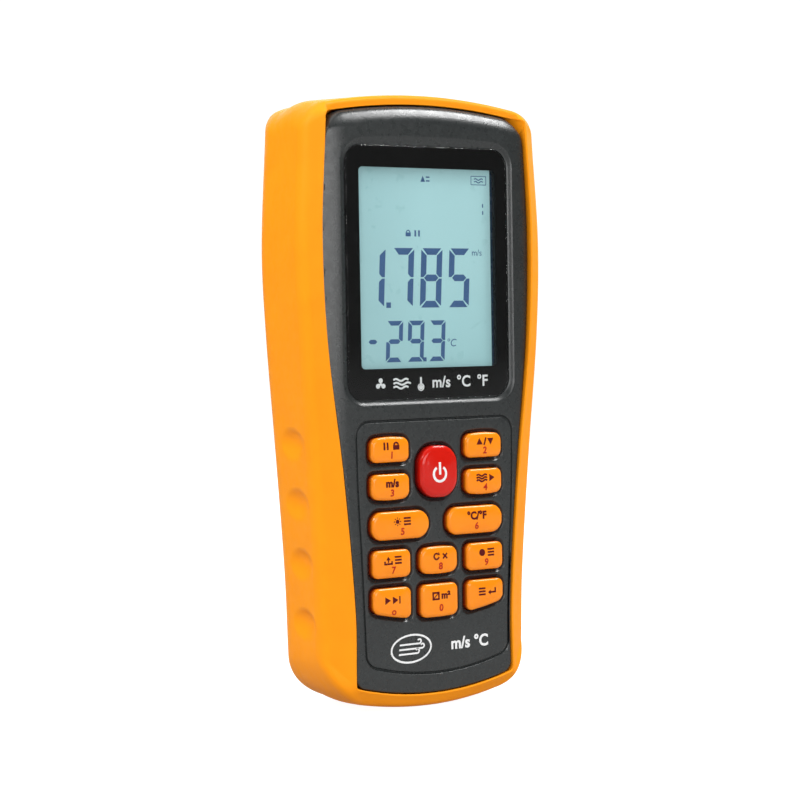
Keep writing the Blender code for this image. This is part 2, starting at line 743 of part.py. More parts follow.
def lathe(bm, profile, sides, place):
    """A turned body. profile goes from the axis to the axis as (radius, along) points."""
    rows = []
    for radius, along in profile:
        turns = [2 * math.pi * i / sides for i in range(sides if radius else 1)]
        rows.append([bm.verts.new(place(radius * math.cos(a), radius * math.sin(a), along))
                     for a in turns])
    for row, after in zip(rows, rows[1:]):
        for i in range(sides):
            j = (i + 1) % sides
            corners = (row[i % len(row)], row[j % len(row)], after[j % len(after)],
                       after[i % len(after)])
            bm.faces.new(list(dict.fromkeys(corners)))


def upright(across, deep, along):
    """Places a turned body on the sensor socket's upright axis."""
    return point(across, SENSOR_DEPTH + deep, along)


def add_upright(bm, heights, radius):
    profile = [(0, heights[0]), (radius, heights[0]), (radius, heights[1]), (0, heights[1])]
    lathe(bm, profile, 24, upright)


def make_sensor_socket():
    """A round cup in the top, open upwards, with four pins on its floor."""
    bm = bmesh.new()
    profile = [
        (0, SENSOR_LOW),
        (SENSOR_RADIUS, SENSOR_LOW),
        (SENSOR_RADIUS, SENSOR_HIGH),
        (SENSOR_BORE, SENSOR_HIGH),
        (SENSOR_BORE, SENSOR_FLOOR),
        (0, SENSOR_FLOOR),
    ]
    lathe(bm, profile, 24, upright)
    socket = put("sensor_socket", bm, (BLACK, 0.45))
    bm = bmesh.new()
    for i in range(4):
        turn = math.pi / 2 * (i + 0.5)
        centre = (PIN_CIRCLE * math.cos(turn), PIN_CIRCLE * math.sin(turn))
        heights = (SENSOR_FLOOR - 0.5, SENSOR_FLOOR + PIN_LENGTH)
        pin = [(0, heights[0]), (PIN_RADIUS, heights[0]), (PIN_RADIUS, heights[1]), (0, heights[1])]
        lathe(bm, pin, 8, lambda a, b, along, c=centre: upright(a + c[0], b + c[1], along))
    combine(socket, "UNION", "pins", bm)


def make_usb_socket():
    """A small data socket on the board, open through the right side wall."""
    start = BOARD_DEPTHS[1] + 1.5 * GAP
    depths = (start, start + USB_SIZE[1])
    heights = (USB_HEIGHT - USB_SIZE[2] / 2, USB_HEIGHT + USB_SIZE[2] / 2)
    bm = bmesh.new()
    add_box(bm, (USB_MOUTH - USB_SIZE[0], USB_MOUTH), depths, heights)
    socket = put("usb_socket", bm, (STEEL, 0.3, 1.0))
    bm = bmesh.new()
    inner = [(depths[0] + 0.4, depths[1] - 0.4), (heights[0] + 0.4, heights[1] - 0.4)]
    add_box(bm, (USB_MOUTH - 6.5, USB_MOUTH + 1.0), *inner)
    combine(socket, "DIFFERENCE", "mouth", bm)
    bm = bmesh.new()
    tongue = ((depths[0] + depths[1]) / 2 - 0.5, (depths[0] + depths[1]) / 2 + 0.5)
    add_box(bm, (USB_MOUTH - 7.5, USB_MOUTH - 1.0), tongue, (USB_HEIGHT - 2.2, USB_HEIGHT + 2.2))
    combine(socket, "UNION", "tongue", bm)


def make_tripod_insert():
    """A threaded bush, flush with the back, for a tripod's quarter-inch screw."""
    bm = bmesh.new()
    back = CASE_DEPTH - 0.1
    profile = [
        (0, INSERT_START + 1.0),
        (INSERT_BORE, INSERT_START + 1.0),
        (INSERT_BORE, back),
        (INSERT_RADIUS, back),
        (INSERT_RADIUS, INSERT_START),
        (0, INSERT_START),
    ]
    lathe(bm, profile, 24, lambda a, b, along: point(a, along, INSERT_HEIGHT + b))
    put("tripod_insert", bm, (BRASS, 0.3, 1.0))


# Fasteners


def make_screw(name, x, height, seat, tip, radius, head_radius, head):
    """A pan-head screw, driven from the back, with a cross recess. seat is under its head."""
    bm = bmesh.new()
    profile = [
        (0, tip),
        (radius * 0.5, tip + 0.2),
        (radius, tip + radius),
        (radius, seat),
        (head_radius, seat),
        (head_radius, seat + 0.6 * head),
        (0.6 * head_radius, seat + head),
        (0, seat + head),
    ]
    place = point(x, seat, height)
    lathe(bm, profile, 12, lambda a, b, along: point(x + a, along, height + b) - place)
    screw = put(name, bm, (STEEL, 0.3, 1.0), place)
    bm = bmesh.new()
    arm, blade = 0.6 * head_radius, 0.15 * head_radius
    cross = [(arm, blade), (blade, blade), (blade, arm)]
    outline = []
    for turn in range(4):
        spin = Matrix.Rotation(math.pi / 2 * turn, 2)
        outline += [Vector((x, height)) + spin @ Vector(corner) for corner in cross]
    add_prism(bm, outline, seat + 0.4 * head, seat + head + 1.0)
    combine(screw, "DIFFERENCE", "recess", bm)


def make_fasteners():
    for i, (x, height) in enumerate(both_sides(CASE_BOSSES)):
        make_screw(f"case_screw_{i + 1}", x, height, SCREW_SEAT + GAP, SCREW_TIP,
                   SCREW_RADIUS, SCREW_HEAD_RADIUS, SCREW_HEAD)
    for i, (x, height) in enumerate(both_sides(BOARD_POSTS)):
        make_screw(f"board_screw_{i + 1}", x, height, BOARD_DEPTHS[1] + GAP, BOARD_SCREW_TIP,
                   BOARD_SCREW_RADIUS, BOARD_SCREW_HEAD_RADIUS, BOARD_SCREW_HEAD)


# Battery, its connector and its door


def along_height(x, depth):
    """Places a turned body on an upright axis at x and depth."""
    return lambda a, b, along: point(x + a, depth + b, along)


def make_battery():
    half, deep = BATTERY_SIZE[0] / 2, BATTERY_SIZE[1]
    depths = (BATTERY_BACK - deep, BATTERY_BACK)
    bm = bmesh.new()
    add_box(bm, (-half, half), depths, (BATTERY_LOW, BATTERY_TOP))
    battery = put("battery", bm, ((0.05, 0.05, 0.06), 0.35))
    bm = bmesh.new()
    middle = sum(depths) / 2
    top = BATTERY_TOP + BATTERY_TERMINAL
    for x in (-TERMINAL_X, TERMINAL_X):
        profile = [(0, BATTERY_TOP - 1.0), (TERMINAL_RADIUS, BATTERY_TOP - 1.0),
                   (TERMINAL_RADIUS, top), (0, top)]
        lathe(bm, profile, 12, along_height(x, middle))
    combine(battery, "UNION", "terminals", bm)

    half, deep = SNAP_SIZE[0] / 2, SNAP_SIZE[1] / 2
    low = BATTERY_TOP + GAP
    bm = bmesh.new()
    add_box(bm, (-half, half), (middle - deep, middle + deep), (low, low + SNAP_SIZE[2]))
    snap = put("battery_snap", bm, (BLACK, 0.6))
    bm = bmesh.new()
    for x in (-TERMINAL_X, TERMINAL_X):
        reach = top + GAP
        profile = [(0, low - 1.0), (TERMINAL_RADIUS + GAP, low - 1.0),
                   (TERMINAL_RADIUS + GAP, reach), (0, reach)]
        lathe(bm, profile, 12, along_height(x, middle))
    combine(snap, "DIFFERENCE", "sockets", bm)
    make_leads(middle - deep, low + SNAP_SIZE[2] / 2)


def make_leads(start_depth, start_height):
    """The two battery leads, from the connector to the board."""
    end_depth = BOARD_DEPTHS[1] + GAP + LEAD_RADIUS
    rise = 15.0
    for name, x, colour in (("battery_lead_red", -LEAD_X, RED), ("battery_lead_black", LEAD_X, BLACK)):
        route = (
            (start_depth - GAP, start_height),
            (start_depth - 4.0, start_height + 0.5),
            (end_depth + 1.0, start_height + 4.0),
            (end_depth + 2.4, start_height + 0.7 * rise),
            (end_depth, start_height + rise),
        )
        depths = [(i, depth) for i, (depth, _) in enumerate(route)]
        heights = [(i, height) for i, (_, height) in enumerate(route)]
        curve = bpy.data.curves.new(name, "CURVE")
        curve.dimensions = "3D"
        curve.bevel_depth = LEAD_RADIUS * MM
        curve.bevel_resolution = 1
        curve.use_fill_caps = True
        spline = curve.splines.new("POLY")
        spline.points.add(LEAD_STEPS)
        for i, stop in enumerate(spline.points):
            at = (len(route) - 1) * i / LEAD_STEPS
            stop.co = (*point(x, smooth(depths, at), smooth(heights, at)), 1.0)
        curve.materials.append(finish(name, colour, 0.5))
        bpy.context.scene.collection.objects.link(bpy.data.objects.new(name, curve))


def make_battery_door():
    """The door, with a rim that locates it in the bay. Its origin is the middle of its outer face."""
    middle = (DOOR_LOW + DOOR_HIGH) / 2
    place = point(0.0, CASE_DEPTH, middle)
    outer = CASE_DEPTH
    inner = CASE_DEPTH - DOOR_THICKNESS
    plate = box_outline(DOOR_HALF_WIDTH, DOOR_LOW, DOOR_HIGH, DOOR_REACH)
    edge = box_outline(DOOR_HALF_WIDTH, DOOR_LOW, DOOR_HIGH, DOOR_REACH, -0.4)
    rim = box_outline(BAY_HALF_WIDTH, BAY_LOW, BAY_HIGH, 2.0, -GAP - 0.1)
    inside = box_outline(BAY_HALF_WIDTH, BAY_LOW, BAY_HIGH, 1.0, -GAP - 0.9)
    rings = [
        ring(inside, inner),
        ring(inside, inner - 1.4),
        ring(rim, inner - 1.4),
        ring(rim, inner),
        ring(plate, inner),
        ring(plate, outer - 0.4),
        ring(edge, outer),
    ]
    bm = bmesh.new()
    loft(bm, rings)
    bmesh.ops.translate(bm, verts=bm.verts, vec=-place)
    door = put("battery_door", bm, (ORANGE, 0.35), place)
    bm = bmesh.new()
    add_rod(bm, 0.0, DOOR_HIGH + 1.0, (inner + 0.6, outer + 1.0), 6.0, 24)
    combine(door, "DIFFERENCE", "finger_notch", bm)

    bm = bmesh.new()
    pad = (BATTERY_BACK + GAP, inner - GAP)
    add_box(bm, (-9.0, 9.0), pad, (middle - 18.0, middle + 18.0))
    bmesh.ops.translate(bm, verts=bm.verts, vec=-place)
    put("door_pad", bm, ((0.1, 0.1, 0.1), 0.9), place)


def main():
    for leftover in list(bpy.data.objects):
        bpy.data.objects.remove(leftover)
    make_rear_tub()
    make_front_cover()
    for key in KEYS:
        make_key(key)
    make_keypad_mat()
    make_display()
    make_board()
    make_sensor_socket()
    make_usb_socket()
    make_tripod_insert()
    make_fasteners()
    make_battery()
    make_battery_door()


main()
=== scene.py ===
"""The looks of the handheld weather meter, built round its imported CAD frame.

Sizes are in millimetres until at() turns them into metres. x runs across the meter, depth runs
from the front cover's face to the back, and height runs up from the floor that it stands on.
"""

import math
from bisect import bisect_right
from functools import partial

import bmesh
import bpy
from mathutils import Matrix, Vector
from mathutils.bvhtree import BVHTree


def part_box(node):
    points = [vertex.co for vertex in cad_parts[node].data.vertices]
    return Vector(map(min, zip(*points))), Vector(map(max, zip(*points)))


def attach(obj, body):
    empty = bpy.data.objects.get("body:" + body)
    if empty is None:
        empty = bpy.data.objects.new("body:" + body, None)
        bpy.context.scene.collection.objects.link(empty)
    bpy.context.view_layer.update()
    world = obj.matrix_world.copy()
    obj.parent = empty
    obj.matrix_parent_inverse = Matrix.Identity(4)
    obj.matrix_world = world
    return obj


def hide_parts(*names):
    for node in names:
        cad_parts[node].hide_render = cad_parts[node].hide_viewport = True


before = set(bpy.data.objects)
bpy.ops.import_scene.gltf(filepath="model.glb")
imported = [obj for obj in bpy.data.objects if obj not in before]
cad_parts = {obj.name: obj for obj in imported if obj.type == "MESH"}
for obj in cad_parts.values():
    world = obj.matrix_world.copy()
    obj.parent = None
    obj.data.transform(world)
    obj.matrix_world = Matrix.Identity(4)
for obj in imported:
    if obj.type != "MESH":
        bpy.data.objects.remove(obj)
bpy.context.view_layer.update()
MM = 0.001


def span(node):
    """A CAD node's lowest and highest corners, in millimetres."""
    low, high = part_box(node)
    return low / MM, high / MM


def middle_of(box):
    return (box[0] + box[1]) / 2


def radius_of(box):
    return (box[1].x - box[0].x) / 2


# Places and sizes that the frame gives

TUB_LOW, TUB_HIGH = span("rear_tub")
FACE_LOW, FACE_HIGH = span("front_cover")
LENS_BOX = span("display_lens")
LCD_BOX = span("lcd_panel")
DOOR_BOX = span("battery_door")
SENSOR_BOX = span("sensor_socket")
USB_BOX = span("usb_socket")
INSERT_BOX = span("tripod_insert")
CASE_SCREWS = [f"case_screw_{i}" for i in range(1, 5)]
FRONT_Y = FACE_LOW.y
CASE_HEIGHT = TUB_HIGH.z
CASE_DEPTH = TUB_HIGH.y - FRONT_Y
RIM_PROUD = FRONT_Y - TUB_LOW.y
FACE_CROWN = FACE_HIGH.z
LENS_FRONT, LENS_BACK = LENS_BOX[0].y - FRONT_Y, LENS_BOX[1].y - FRONT_Y
LCD_FRONT = LCD_BOX[0].y - FRONT_Y

# Fineness, and how far a cutter reaches past the surface that it cuts

EDGE_STEPS, CORNER_STEPS, SIDE_STEPS = 22, 22, 190
FINE_STEPS = (EDGE_STEPS, CORNER_STEPS, SIDE_STEPS)
LENS_STEPS = (20, 20, 30)
GROOVE_STEPS = (24, 14, 40)
KEY_STEPS = (8, 10, 8)
ROUND = 48
WALL_STEPS, RIDGE_STEPS, DIP_STEPS = 26, 8, 8
CUT_PAST = 1.0

# The case: its sides follow the CAD part's curves, and its ends are a little fuller

GAP = 0.3
WALL = 2.6
DRAFT = 0.07
RIDGE_DEPTH = 6.0
BACK_FILLET = 15.0
BACK_START = CASE_DEPTH - BACK_FILLET
BACK_INSIDE = CASE_DEPTH - WALL
CROWN_SHARE, BASE_SHARE = 0.15, 0.3
CROWN_RADIUS, BASE_RADIUS = 187.0, 122.0
CASE_SIDE = ((15, 35.6), (40, 36.4), (80, 39.1), (110, 41.3), (135, 42.2), (168, 40.4))
CASE_TOP_REACH, CASE_BASE_REACH, CASE_LEAST_REACH = 7.0, 12.0, 2.0
REACH_GROWTH = 0.8
BACK_TOP_REACH = 8.0
BULGE, BULGE_SIDE, BULGE_TURN = 1.1, 38.0, 16.0
TOP_BULGE_FROM, BASE_BULGE_FROM = 158.0, 19.0

# The rim: a lip round the face, a bevel and a ridge that rounds into the side walls

LIP_REACHES, LIP_SOFT = (1.6, 1.0), 0.3
RAIL_X, RAIL_TURN = 34.8, 2.4
RIM_TOP_FROM, RIM_TOP_TURN = 150.0, 15.0
SHOULDER_DROP, SHOULDER_FROM, SHOULDER_TURN = 0.4, 170.0, 8.0
TOP_LIP_BACK = 0.5
ROLL_START, ROLL_END, ROLL_BACK = 171.0, 178.5, 2.6
BEVEL_SHARES = (0.05, 0.12, 0.25, 0.5, 0.75, 1.0)
BEVEL_SLOPE, BEVEL_START, BEVEL_GAIN = 0.5, 0.35, 4
RIDGE_ROUND = 3.8
RIDGE_TOP_FROM, RIDGE_TOP_TURN, TOP_RIDGE_DEPTH = 163.0, 14.0, 2.5

# Finger scallops: where they lie, how large and deep they are, and how they fade downwards

SCALLOP_HEIGHTS = (78.0, 60.5, 43.0, 25.5)
SCALLOP_PLACE, SCALLOP_LEAST_X = 15.5, 30.0
SCALLOP_HALF_DEPTH, SCALLOP_HALF_HEIGHT, SCALLOP_CUT = 7.6, 4.8, 2.5
SCALLOP_LOWER_POWER, SCALLOP_UPPER_POWER, SCALLOP_LOWER_SHARE = 1.8, 0.9, 0.3

# The back: battery bay, door, screws and the edges of holes

BAY_HALF_WIDTH, BAY_FLOOR, BAY_WALL, BAY_REACH = 14.5, 16.7, 1.6, 2.0
BAY_LOW, BAY_HIGH = DOOR_BOX[0].z + 3.0, DOOR_BOX[1].z - 3.0
DOOR_THICKNESS, DOOR_REACH, DOOR_SOFT = 1.8, 3.0, 0.4
DOOR_RIM = ((-0.9, 0.2), (-0.9, -1.2), (-0.7, -1.4), (-0.3, -1.4), (-0.1, -1.2), (-0.1, 0.0))
DOOR_GROOVES, DOOR_GROOVE_PITCH = 6, 2.6
SCREW_HEAD_RADIUS, SCREW_HEAD_HEIGHT, SCREW_POCKET_FLOOR = 2.8, 2.0, 31.0
HOLE_SOFT = 0.35

# The face panel, with its rounded edge, groove and the dishes round the lens and the keys

FACE_BASE, FACE_BASE_RADIUS = 4.5, 98.0
FACE_SIDE = ((10, 27.4), (30, 27.4), (69, 30.6), (108, 35.2), (139, 36.3), (168, 34.8))
FACE_TOP_REACH, FACE_BASE_REACH = 6.5, 2.5
FACE_THICKNESS = 2.8
FACE_BACK = FACE_THICKNESS + 2.2
EDGE_SOFT, EDGE_SOFT_TOP, EDGE_DROP_TOP = 0.45, 1.7, 1.6
EDGE_TOP_FROM, EDGE_TOP_TURN = 163.0, 6.0
ROLL_INSETS, ROLL_SIDE_INSET = (2.1, 2.5, 2.9, 3.3, 3.8, 4.4, 5.0, 5.6), 0.85
EASE_START, EASE_WIDTH, EASE_BACK, EASE_CUTS = 27.8, 8.2, 1.0, 7
GROOVE_WIDTH, GROOVE_DEPTH, GROOVE_HALF_FLOOR = 1.0, 0.6, 0.08
GROOVE_SIDE = ((15.5, 25.2), (27.5, 25.6), (45.5, 26.3), (64.5, 27.2), (78.5, 27.5))
GROOVE_X, GROOVE_TOP, GROOVE_BASE, GROOVE_RADIUS = 1.1, 84.7, 10.2, 78.0
GROOVE_TOP_REACH, GROOVE_BASE_REACH = 4.5, 3.0
HALO_WIDTH, HALO_DEPTH = 1.0, 0.85
MOAT_WIDTH, MOAT_BOW, MOAT_DEPTH = 1.8, 1.3, 0.75

# The lens, the window behind it and the display

LENS_REACH, LENS_GAP, LENS_SOFT = 5.5, 0.15, 0.26
WINDOW_X, WINDOW_HALF_WIDTH = 0.6, 24.0
WINDOW_LOW, WINDOW_HIGH = 99.8, 158.0
LEDGE_DEPTH = 2.0
LCD_VIEW_HALF_WIDTH = 24.05
LIT_SEGMENTS = {"1": "bc", "2": "abged", "3": "abgcd", "5": "afgcd", "7": "abc", "8": "abcdefg",
                "9": "abcdfg"}
FIGURE_SLANT = 0.05

# Keys: the flange and body below the shoulder as (growth, depth), and the domed top's rings

KEY_FLANGE, KEY_GAP = 0.8, 0.35
KEY_BODY = ((KEY_FLANGE, 3.9), (KEY_FLANGE, 3.1), (0.0, 3.1), (0.0, 1.0))
KEY_DOME_SHARES = (0.9, 0.75, 0.55, 0.35, 0.15)
BOTTOM_ROW_RADIUS = 89.0
KEY_DIGITS = {
    "hold_key": "1", "max_min_key": "2", "unit_key": "3", "flow_key": "4", "light_key": "5",
    "degree_key": "6", "read_key": "7", "clear_key": "8", "record_key": "9", "area_key": "0",
}

# Studio: the world's brightness, and each lamp's place, size and power

WORLD_LOW, WORLD_LEFT, WORLD_ABOVE, WORLD_SEEN = 0.13, 0.20, 0.3, 1.1
LAMP_AIM = (0.0, 0.0, 0.09)
LAMPS = {
    "key_light": ((-0.75, -0.75, 0.8), (0.3, 0.3), 4.9),
    "front_light": ((0.05, -1.2, 0.25), (0.7, 0.4), 4.0),
    "edge_light": ((0.6, -0.35, 0.95), (0.35, 0.35), 9.0),
    "top_light": ((-0.25, 0.1, 0.95), (0.8, 0.8), 2.5),
    "left_light": ((-0.95, 0.1, 0.75), (0.5, 0.5), 7.0),
    "right_fill": ((0.9, 0.3, 0.4), (0.5, 0.6), 1.8),
    "back_light": ((0.4, 1.1, 0.6), (0.8, 0.8), 4.5),
}


def at(x, depth, height):
    """A place on the meter, in metres."""
    return Vector((x, FRONT_Y + depth, height)) * MM


# Outlines


def smooth(points, place):
    """The value at a place on a smooth curve through (place, value) points, straight at its ends."""
    places = [p for p, _ in points]
    values = [value for _, value in points]
    last = len(points) - 1
    slopes = [
        (values[min(i + 1, last)] - values[max(i - 1, 0)])
        / (places[min(i + 1, last)] - places[max(i - 1, 0)])
        for i in range(last + 1)
    ]
    if place <= places[0]:
        return values[0] + slopes[0] * (place - places[0])
    if place >= places[last]:
        return values[last] + slopes[last] * (place - places[last])
    i = bisect_right(places, place) - 1
    gap = places[i + 1] - places[i]
    t = (place - places[i]) / gap
    start = values[i] * (1 + 2 * t) * (1 - t) ** 2 + slopes[i] * gap * t * (1 - t) ** 2
    end = values[i + 1] * t * t * (3 - 2 * t) + slopes[i + 1] * gap * t * t * (t - 1)
    return start + end


def bowed(peak, radius, x):
    """The height at x of an arc whose peak is at x = 0. A negative radius bows it downwards."""
    return peak - math.copysign(abs(radius) - math.sqrt(radius * radius - x * x), radius)


def corner_at(side, edge):
    """Where the side curve meets the top or base curve."""
    height = edge(0.0)
    for _ in range(12):
        x = side(height)
        height = edge(x)
    return x, height


def rounded(before, corner, after, steps):
    """Points round a corner, from one tangent point to the other, both included."""
    start, sharp, end = Vector(before), Vector(corner), Vector(after)
    parts = (start, start.lerp(sharp, 0.55), end.lerp(sharp, 0.55), end)
    found = []
    for i in range(steps + 1):
        t = i / steps
        weights = ((1 - t) ** 3, 3 * t * (1 - t) ** 2, 3 * t * t * (1 - t), t**3)
        found.append(sum((w * p for w, p in zip(weights, parts)), Vector((0, 0))))
    return found


def half_outline(side, top, base, top_reach, base_reach, steps):
    """Points (x, height) down one side, from the middle of the top to the middle of the base."""
    edge_steps, corner_steps, side_steps = steps
    top_x, top_height = corner_at(side, top)
    base_x, base_height = corner_at(side, base)
    on_top = (top_x - top_reach, top(top_x - top_reach))
    below_top = top_height - top_reach
    on_base = (base_x - base_reach, base(base_x - base_reach))
    above_base = base_height + base_reach
    found = []
    for i in range(edge_steps):
        x = on_top[0] * i / edge_steps
        found.append(Vector((x, top(x))))
    found += rounded(on_top, (top_x, top_height), (side(below_top), below_top), corner_steps)
    for i in range(1, side_steps):
        height = below_top + (above_base - below_top) * i / side_steps
        found.append(Vector((side(height), height)))
    turn = (side(above_base), above_base)
    found += rounded(turn, (base_x, base_height), on_base, corner_steps)
    for i in range(1, edge_steps + 1):
        x = on_base[0] * (1 - i / edge_steps)
        found.append(Vector((x, base(x))))
    return found


def closed(right, left=None):
    """A whole outline from its right half, and from the mirrored left half if that one differs."""
    left = left or right
    return right + [Vector((-p.x, p.y)) for p in reversed(left[1:-1])]


def shape(side, crown, crown_radius, base, base_radius, reaches, grow):
    """An outline between a side curve, grown, and arcs across its top and base."""
    half = half_outline(
        lambda height: smooth(side, height) + grow,
        lambda x: bowed(crown, crown_radius, x),
        lambda x: bowed(base, -base_radius, x),
        *reaches,
        FINE_STEPS,
    )
    return closed(half)


def case_outline(grow, drawn_in=0.0, top_reach=CASE_TOP_REACH):
    """The case's outline, grown all round and then drawn in, less at its ends than at its sides."""
    crown = CASE_HEIGHT + grow - CROWN_SHARE * drawn_in
    base = BASE_SHARE * drawn_in - grow
    reaches = [max(reach + REACH_GROWTH * (grow - drawn_in), CASE_LEAST_REACH)
               for reach in (top_reach, CASE_BASE_REACH)]
    return shape(CASE_SIDE, crown, CROWN_RADIUS, base, BASE_RADIUS, reaches, grow - drawn_in)


def face_outline(grow, top_grow=None):
    """The face's outline. Its top may be grown by a different amount from the rest."""
    reaches = [max(reach + REACH_GROWTH * grow, 1.0) for reach in (FACE_TOP_REACH, FACE_BASE_REACH)]
    crown = FACE_CROWN + (grow if top_grow is None else top_grow)
    return shape(FACE_SIDE, crown, CROWN_RADIUS, FACE_BASE - grow, FACE_BASE_RADIUS, reaches, grow)


def lip_outline(grow):
    """The rim's inner edge: the face's outline with sharper corners."""
    return shape(FACE_SIDE, FACE_CROWN + grow, CROWN_RADIUS, FACE_BASE - grow, FACE_BASE_RADIUS,
                 LIP_REACHES, grow)


def box_outline(half_width, low, high, reach, grow=0.0, bow=0.0, steps=(10, 12, 12), middle=0.0):
    """A rectangle with rounded corners, whose top edge may bow up."""
    half = half_outline(
        lambda height: half_width + grow,
        lambda x: high + grow + bow * (1 - (x / half_width) ** 2),
        lambda x: low - grow,
        reach + grow,
        reach + grow,
        steps,
    )
    return [Vector((p.x + middle, p.y)) for p in closed(half)]


def circle(x, height, radius, sides=ROUND):
    turns = (2 * math.pi * (i + 0.5) / sides for i in range(sides))
    return [Vector((x + radius * math.cos(a), height + radius * math.sin(a))) for a in turns]


def eased(t):
    t = min(max(t, 0.0), 1.0)
    return t * t * (3 - 2 * t)


def quarter(steps, first=0):
    """A quarter round in steps, each as how far it has come in (1 - cos) and up (sin)."""
    turns = [math.pi / 2 * i / steps for i in range(first, steps + 1)]
    return [(1 - math.cos(turn), math.sin(turn)) for turn in turns]


def crowned(place):
    """A place's height along the crown's curve, carried to the middle of the meter."""
    return place.y + CROWN_RADIUS - math.sqrt(CROWN_RADIUS**2 - place.x**2)


def roll(place):
    """How far the front has rolled back at a place, as it nears the crown's curve."""
    return ROLL_BACK * eased((crowned(place) - ROLL_START) / (ROLL_END - ROLL_START))


def rim_depth(place):
    """The rim's lip: it drops back over the top, while its side rails stay proud to shoulders."""
    across = eased((RAIL_X - abs(place.x)) / RAIL_TURN)
    top = across * eased((place.y - RIM_TOP_FROM) / RIM_TOP_TURN)
    shoulder = eased((crowned(place) - SHOULDER_FROM) / SHOULDER_TURN)
    proud = RIM_PROUD * (1 - SHOULDER_DROP * shoulder)
    return (roll(place) + TOP_LIP_BACK + proud) * top - proud


def ridge_depth(place, width):
    """The rim's outer edge, which drops back round the upper corners and over the top."""
    top = eased((crowned(place) - RIDGE_TOP_FROM) / RIDGE_TOP_TURN)
    side = BEVEL_SLOPE * width - RIM_PROUD
    return side + (TOP_RIDGE_DEPTH - side) * top


# Meshes


def ring(outline, depth, rolled=False):
    return [at(p.x, depth + (roll(p) if rolled else 0.0), p.y) for p in outline]


def add_rows(bm, rings):
    """Faces through rings of the same number of points. Gives back the first and last rows."""
    rows = [[bm.verts.new(place) for place in places] for places in rings]
    count = len(rows[0])
    for row, after in zip(rows, rows[1:]):
        for i in range(count):
            j = (i + 1) % count
            bm.faces.new((row[i], row[j], after[j], after[i]))
    return rows[0], rows[-1]


def loft(bm, rings):
    """A closed body through the rings, capped at both ends."""
    first, last = add_rows(bm, rings)
    bm.faces.new(first[::-1])
    bm.faces.new(last)


def fill(bm, rows):
    """Fills the flat region between an outer row of vertices and the rows inside it."""
    edges = []
    for row in rows:
        for i, vertex in enumerate(row):
            other = row[(i + 1) % len(row)]
            edges.append(bm.edges.get((vertex, other)) or bm.edges.new((vertex, other)))
    bmesh.ops.triangle_fill(bm, edges=edges, use_beauty=True, normal=(0, -1, 0))


def add_prism(bm, outline, start, end):
    loft(bm, [ring(outline, start), ring(outline, end)])


def add_pill(bm, outline, back, front, soft):
    """A prism whose front edge is rounded off by soft. outline takes how much it grows."""
    rings = [ring(outline(0.0), back)]
    rings += [ring(outline(-soft * drawn), front + soft * (1 - up)) for drawn, up in quarter(5)]
    loft(bm, rings)


def add_flare(bm, outline, start, surface, soft):
    """A cutter from start out through a flat surface, which leaves the cut's edge rounded."""
    rings = [ring(outline(0.0), start)]
    rings += [ring(outline(soft * drawn), surface - soft * (1 - up)) for drawn, up in quarter(4)]
    rings.append(ring(outline(soft), surface + CUT_PAST))
    loft(bm, rings)


def turned(bm, profile, place, sides=ROUND):
    """A turned body. profile goes from the axis to the axis as (radius, along) points."""
    rows = []
    for radius, along in profile:
        turns = [2 * math.pi * i / sides for i in range(sides if radius else 1)]
        rows.append([bm.verts.new(place(radius * math.cos(a), radius * math.sin(a), along))
                     for a in turns])
    for row, after in zip(rows, rows[1:]):
        for i in range(sides):
            j = (i + 1) % sides
            corners = (row[i % len(row)], row[j % len(row)], after[j % len(after)],
                       after[i % len(after)])
            bm.faces.new(list(dict.fromkeys(corners)))


def put(name, bm, look, body, replaced=(), slot=None, sharp=40):
    """Makes a named piece that rides on a body and may stand for CAD nodes."""
    bmesh.ops.recalc_face_normals(bm, faces=bm.faces)
    mesh = bpy.data.meshes.new(name)
    bm.to_mesh(mesh)
    bm.free()
    mesh.shade_smooth()
    mesh.set_sharp_from_angle(angle=math.radians(sharp))
    mesh.materials.append(look)
    piece = bpy.data.objects.new(name, mesh)
    bpy.context.scene.collection.objects.link(piece)
    if body:
        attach(piece, body)
    if replaced:
        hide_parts(*replaced)
    return piece


def cut(piece, name, bm, look):
    """Cuts a helper mesh out of a piece for good."""
    helper = put(f"{piece.name}_{name}", bm, look, None)
    modifier = piece.modifiers.new(name, "BOOLEAN")
    modifier.operation = "DIFFERENCE"
    modifier.solver = "EXACT"
    modifier.object = helper
    bpy.context.view_layer.update()
    graph = bpy.context.evaluated_depsgraph_get()
    mesh = bpy.data.meshes.new_from_object(piece.evaluated_get(graph), depsgraph=graph)
    piece.modifiers.remove(modifier)
    old = piece.data
    piece.data = mesh
    bpy.data.meshes.remove(old)
    mesh.materials.clear()
    mesh.materials.append(look)
    bpy.data.objects.remove(helper)


def even_out(piece):
    """Lets the large faces lead the shading, so that flat stretches look flat."""
    modifier = piece.modifiers.new("shading", "WEIGHTED_NORMAL")
    modifier.keep_sharp = True
    modifier.weight = 80


# Materials


class Tree:
    """A node tree, with short ways to add to it."""

    def __init__(self, tree):
        self.nodes, self.links = tree.nodes, tree.links

    def feed(self, socket, value):
        """Gives an input a value or another node's output."""
        if isinstance(value, bpy.types.NodeSocket):
            self.links.new(value, socket)
        else:
            socket.default_value = value

    def add(self, kind, inputs=None):
        """Makes a node and feeds the inputs that are given by name or number."""
        node = self.nodes.new("ShaderNode" + kind)
        for name, value in (inputs or {}).items():
            self.feed(node.inputs[name], value)
        return node

    def remap(self, value, low, high, to_low, to_high):
        limits = {"From Min": low, "From Max": high, "To Min": to_low, "To Max": to_high}
        return self.add("MapRange", {"Value": value, **limits}).outputs["Result"]

    def mix_shaders(self, factor, first, second, output):
        inputs = {0: factor, 1: first.outputs[0], 2: second.outputs[0]}
        mixed = self.add("MixShader", inputs).outputs[0]
        self.feed(self.nodes[output].inputs["Surface"], mixed)


